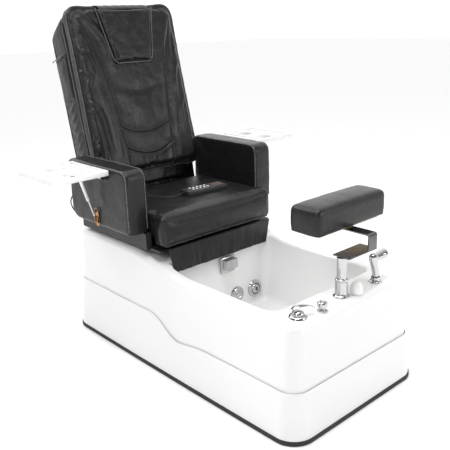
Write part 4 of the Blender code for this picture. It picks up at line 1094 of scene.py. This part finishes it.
def make_flap():
    piece = blank("headrest_pad", "headrest_flap", 0.0044, 0.0015)
    stuff(piece, 3.0, 0.006)
    finer(piece)
    points = positions(piece)
    press(piece, undulate(points, 0.045, 0.0018, 31) + undulate(points, 0.016, 0.0005, 32))
    fit(piece, LEATHER, "headrest", "black_leather", "headrest_flap")
    corners = [Vector((x, -0.1425, z)) for x, z in FLAP]
    line = []
    for a, b in zip(corners, corners[1:]):
        line += [a.lerp(b, k / 12) for k in range(1, 12)]
    piping("headrest_piping", leaning([corners[0], *line, corners[-1]]), 0.0026, "headrest")


def make_flap_strap():
    """A leather strip from the cushion's top edge to the pad's fold line."""
    arch = smooth_line(((0, -0.062, 0.9105), (0, -0.09, 0.9135), (0, -0.118, 0.9075), (0, -0.136, 0.8965),
                        (0, -0.146, 0.884)), 6)
    rings = []
    for p in arch:
        across = [(mix(-STRAP_HALF, STRAP_HALF, k / 40), 0.0006 * sin(k * 0.9)) for k in range(41)]
        rings.append([(x, p.y, p.z + wave) for x, wave in across])
    strap = skin("headrest_strap", rings, closed_rings=False)
    thicken(strap, "hide", STRAP_THICKNESS)
    settle(strap)
    strap.data.transform(LEANING)
    strap.data.materials.clear()
    strap.data.materials.append(LEATHER)
    round(line_length(arch), 3)
    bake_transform(strap)
    print("strap", round(line_length(arch), 3), "m long")


make_flap()
make_flap_strap()

# %% [markdown]
# ## Seat
# The seat is a deep cushion with a full front roll. Its side panels meet the roll in an upright seam that shines
# where the leather is pulled tight, and slack folds lie across the rear, where the back presses on it. A leather
# apron hangs under its front edge, and a black sheet hangs from the back's lower edge as painted shade in the gap
# behind it.

# %% Seat cushion
SEAT_FOLDS = (((-0.29, 0.47), (-0.18, 0.43), (-0.06, 0.41), (0.05, 0.42)),
              ((-0.29, 0.43), (-0.17, 0.392), (-0.05, 0.376)),
              ((-0.28, 0.39), (-0.16, 0.352), (-0.07, 0.345)),
              ((-0.22, 0.5), (-0.06, 0.455), (0.12, 0.462)))


def press_seat(piece):
    low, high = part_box("seat_cushion")
    place_points(piece, square_foot(fill_out(positions(piece), low, high), low, high, 0.024))
    points = positions(piece)
    top = np.clip((points[:, 2] - 0.655) / 0.015, 0, 1)
    flat = points[:, [0, 1]]
    relief = np.zeros(len(points))
    for line in SEAT_FOLDS:
        relief += along(flat, flat_line(line), 0.0085, 0.0028) * top
        relief += along(flat, flat_line([(x, y + 0.014) for x, y in line]), 0.008, -0.0016) * top
    relief += along(flat, ((-0.25, 0.3), (0.25, 0.3)), 0.17, 0.004, False) * top
    front = np.clip((0.075 - points[:, 1]) / 0.02, 0, 1)
    upright_plane = points[:, [0, 2]]
    for side in (-1, 1):
        line = ((side * 0.304, 0.545), (side * 0.306, 0.61), (side * 0.302, 0.668))
        relief += seam(upright_plane, line, 0.003, 0.0034) * front
    relief += along(upright_plane, ((-0.3, 0.6), (0.3, 0.6)), 0.05, 0.004, False) * front
    press(piece, relief + undulate(points, 0.065, 0.0016, 41) + undulate(points, 0.022, 0.0005, 42))


def make_seat_cushion():
    piece = blank("seat_pad", "seat_cushion", 0.0066, 0.004)
    stuff(piece, 3.0, 0.006)
    press_seat(finer(piece))
    fit(piece, LEATHER, "seat", "black_leather", "seat_cushion")
    line = [(x, 0.025, 0.53) for x in np.linspace(-0.302, 0.302, 60)]
    piping("seat_front_piping", hug(piece, line, 0.0016), 0.0022, "seat")


make_seat_cushion()


# %% Hanging leather
CURTAIN_THICKNESS, CURTAIN_WAVE = 0.0014, 0.0052


def hang(name, top, hem, body, holder, *stands_for):
    """Hung black leather, or a black sheet of painted shade, between two level lines, each (half width, Y, Z):
    slack gathers open towards the hem.
    """
    rows, columns = 30, 220
    rings = []
    for i in range(rows + 1):
        t = i / rows
        half, y, z = (mix(a, b, t) for a, b in zip(top, hem))
        ring = []
        for k in range(columns + 1):
            u = mix(-1.0, 1.0, k / columns)
            wave = noise.noise(Vector((u * 9.0, t * 0.5, 2.7)))
            wave += 0.45 * noise.noise(Vector((u * 23.0, t * 0.9, 8.1)))
            ring.append((u * half, y - CURTAIN_WAVE * wave * (0.25 + 0.75 * t), z))
        rings.append(ring)
    sheet = skin(name, rings, closed_rings=False)
    across = [line_length([Vector(p) for p in rings[i]]) for i in (0, rows)]
    thicken(sheet, "hide", CURTAIN_THICKNESS)
    return fit(sheet, LEATHER, body, "black_leather", *stands_for)


hang("seat_curtain", (0.3, 0.0336, 0.5344), (0.272, 0.0336, 0.426), "seat", "seat_pad", "seat_apron")
# The back's sheet is no real part of the chair: it is a black sheet that stands for the shade in the gap behind the
# seat.
hang("back_gap_shade_sheet", (0.306, 0.596, 0.733), (0.306, 0.58, 0.616), "back", "back_pad")

# %% [markdown]
# ## Arms
# Each arm is a padded box. Its front top corner rolls over, its lower rear corner is cut round, and piping, black
# leather painted lighter grey for its highlight, runs up both edges of its front face and back along the top. The
# outline is drawn from the side, swept across the arm's width with rounded edges, and waved slightly, because a
# board behind the foam keeps it flat.

# %% Arms
ARM_INNER, ARM_OUTER, ARM_EDGE_R = 0.3165, 0.414, 0.014
ARM_CORNERS = ((0.595, 0.866, 0.022), (0.595, 0.594, 0.05), (0.139, 0.594, 0.012), (0.139, 0.866, 0.04))


def arm_outline(inset):
    """Corners are (Y, Z, radius), from the rear top round by the rear foot to the front top."""
    centre_y, centre_z = 0.367, 0.73
    loop = []
    for (y, z, radius), start in zip(ARM_CORNERS, (90, 0, -90, -180)):
        sy, sz = (1 if y > centre_y else -1), (1 if z > centre_z else -1)
        r = max(radius - inset, 0.002)
        cy, cz = y - sy * (r + inset), z - sz * (r + inset)
        for turn in quarter(10):
            a = radians(start) - turn
            loop.append((cy + r * cos(a), cz + r * sin(a)))
    return loop


def make_arm(name, node, side):
    edges = [(ARM_EDGE_R * (1 - cos(a)), ARM_EDGE_R * (1 - sin(a))) for a in quarter(5)]
    levels = [(ARM_INNER + step, inset) for step, inset in edges]
    levels += [(ARM_OUTER - step, inset) for step, inset in edges[::-1]]
    rings = [[(side * x, y, z) for y, z in arm_outline(inset)] for x, inset in levels]
    piece = skin(name, rings, cap_ends=True)
    even_faces(piece, 0.0058)
    piece.data.shade_smooth()
    points = positions(piece)
    front = np.clip((0.16 - points[:, 1]) / 0.015, 0, 1)
    crown = along(points[:, [0, 2]], ((side * 0.365, 0.6), (side * 0.365, 0.85)), 0.03, 0.003, False) * front
    press(piece, crown + undulate(points, 0.06, 0.0016, 51 + side) + undulate(points, 0.02, 0.0005, 54))
    finer(piece)
    fit(piece, LEATHER, "seat", "black_leather", node)
    loop = arm_outline(-0.008)
    start = len(loop) * 3 // 4
    run = finely(loop[start - 1:] + loop[:1], 0.008, False)
    for edge_name, x in (("outer", ARM_OUTER + 0.008), ("inner", ARM_INNER - 0.008)):
        line = [(side * x, y, z) for y, z in run]
        piping(name + "_" + edge_name + "_piping", hug(piece, line, 0.0018), 0.0024, "seat")


make_arm("arm_pad_right", "arm_right", -1)
make_arm("arm_pad_left", "arm_left", 1)


# %% [markdown]
# ## Leg-rest pad
# The pad on the bent steel strip is firm, so it isn't swelled: it is crowned on top, its ends bow out a little,
# and its leather is pulled square round the board's edge.

# %% Leg-rest pad
def make_leg_pad():
    piece = blank("leg_pad", "footrest_pad", 0.0056)
    finer(piece)
    low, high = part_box("footrest_pad")
    points = fill_out(positions(piece), low, high)
    centre, half = np.array((low + high) / 2), np.array((high - low) / 2)
    place_points(piece, square_foot(points, low, high, 0.022))
    way = facing(piece)
    share = (points - centre) / half
    top = np.clip((points[:, 2] - high.z + 0.03) / 0.02, 0, 1)
    relief = np.clip(1 - share[:, 1] ** 2, 0, 1) * np.clip(1 - share[:, 0] ** 4, 0, 1) * top * 0.007
    ends = np.clip((np.abs(share[:, 0]) - 0.94) / 0.04, 0, 1)
    relief += np.clip(1 - share[:, 2] ** 2, 0, 1) * np.clip(1 - share[:, 1] ** 2, 0, 1) * ends * 0.006
    relief += undulate(points, 0.07, 0.001, 61) + undulate(points, 0.018, 0.0003, 62)
    place_points(piece, points + way * relief[:, None])
    fit(piece, LEATHER, "footrest", "black_leather", "footrest_pad")


make_leg_pad()

# %% [markdown]
# ## Small details
# The controller's grey window has a dull red rim, and each stay drops into a bent brass hook. Both are thin lines
# that a box could never show, so they are tubes along short curves.

# %% Window rim and brass hooks
def make_window_rim():
    points = positions(nodes["remote_window"])
    top = points[points[:, 2] > points[:, 2].max() - 0.0002]
    centre = top.mean(axis=0)
    turn = radians(-4.0)
    corners = [(-0.0288, -0.0213), (0.0288, -0.0213), (0.0288, 0.0213), (-0.0288, 0.0213)]
    lift = centre[2] + 0.0002
    line = [(centre[0] + x * cos(turn) - y * sin(turn), centre[1] + x * sin(turn) + y * cos(turn), lift)
            for x, y in corners]
    fit(tube("window_rim", line, 0.0006, True), DISPLAY_RIM, "seat", "display_grey")


def make_hooks():
    for name, side in (("right", -1), ("left", 1)):
        low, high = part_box("stay_catch_" + name)
        x = side * 0.4215
        y = (low.y + high.y) / 2
        route = ((x, y - 0.01, 0.655), (x - side * 0.001, y - 0.0125, 0.668), (x, y - 0.005, 0.676),
                 (x, y + 0.005, 0.676), (x - side * 0.001, y + 0.0125, 0.668), (x, y + 0.01, 0.655))
        fit(tube("stay_hook_" + name, smooth_line(route, 5), 0.0022), BRASS, "seat", "brass")


make_window_rim()
make_hooks()

# %% [markdown]
# ## Floor and light
# A pale floor fades into a room that is bright behind the chair and dimmer in front of it, so that black leather
# and chrome have something dark to mirror. A small key light and a tall narrow strip stand at the front left: the
# strip draws long highlights on the leather's folds. A wide fill light stands at the front right, another strip
# hangs behind the back, and one small light looks down into the basin, which the room alone leaves grey. A very
# soft sun stands for a white ceiling.

# %% Floor and light
def make_floor():
    bpy.ops.mesh.primitive_plane_add(size=60, location=(0, 0, -0.0005))
    floor = bpy.context.object
    floor.name = "floor"
    paint = bpy.data.materials.new("floor_paint")
    paint.use_nodes = True
    shader = paint.node_tree.nodes["Principled BSDF"]
    shader.inputs["Base Color"].default_value = (0.97, 0.97, 0.97, 1)
    shader.inputs["Roughness"].default_value = 0.9
    shader.inputs["Specular IOR Level"].default_value = 0.1
    floor.data.materials.append(paint)


def make_light(name, at, aim, size, power):
    light = bpy.data.lights.new(name, "AREA")
    light.shape = "RECTANGLE"
    light.size, light.size_y = size
    light.energy = power
    lamp = link(name, light)
    lamp.location = at
    lamp.rotation_euler = (Vector(aim) - Vector(at)).to_track_quat("-Z", "Y").to_euler()


DIM, BRIGHT, BRIGHT_SIDE = 0.16, 1.25, (0.667, 0.745, 0.0)


def make_room():
    world = bpy.data.worlds.new("bright_room")
    world.use_nodes = True
    tree = world.node_tree
    toward = tree.nodes.new("ShaderNodeVectorMath")
    toward.operation = "DOT_PRODUCT"
    toward.inputs[1].default_value = BRIGHT_SIDE
    wire(tree, tree.nodes.new("ShaderNodeTexCoord"), "Generated", toward, 0)
    spread = spread_node(tree, toward, "Value", (-0.2, 0.6), (DIM, BRIGHT))
    wire(tree, spread, "Result", tree.nodes["Background"], "Strength")
    tree.nodes["Background"].inputs["Color"].default_value = (1, 1, 1, 1)
    bpy.context.scene.world = world
    bpy.context.scene.view_settings.view_transform = "Standard"
    make_light("key", (-3.4, -1.6, 3.2), (0, 0, 0.7), (0.7, 0.7), 24)
    make_light("tall strip", (-2.7, -1.1, 2.1), (0, 0.4, 1.0), (0.3, 1.8), 15)
    make_light("basin", (-0.3, -0.6, 2.7), (0, -0.25, 0.3), (0.6, 0.6), 17)
    make_light("fill", (1.6, -3.6, 1.8), (0, 0, 0.6), (1.6, 1.2), 40)
    make_light("strip", (-0.6, 2.4, 3.2), (0, 0.6, 1.0), (2.6, 0.7), 30)
    sky = bpy.data.lights.new("ceiling", "SUN")
    sky.energy = 1.3
    sky.angle = radians(64)
    link("ceiling", sky).rotation_euler = (radians(-8), radians(-6), 0)


make_floor()
make_room()
print("pieces made")
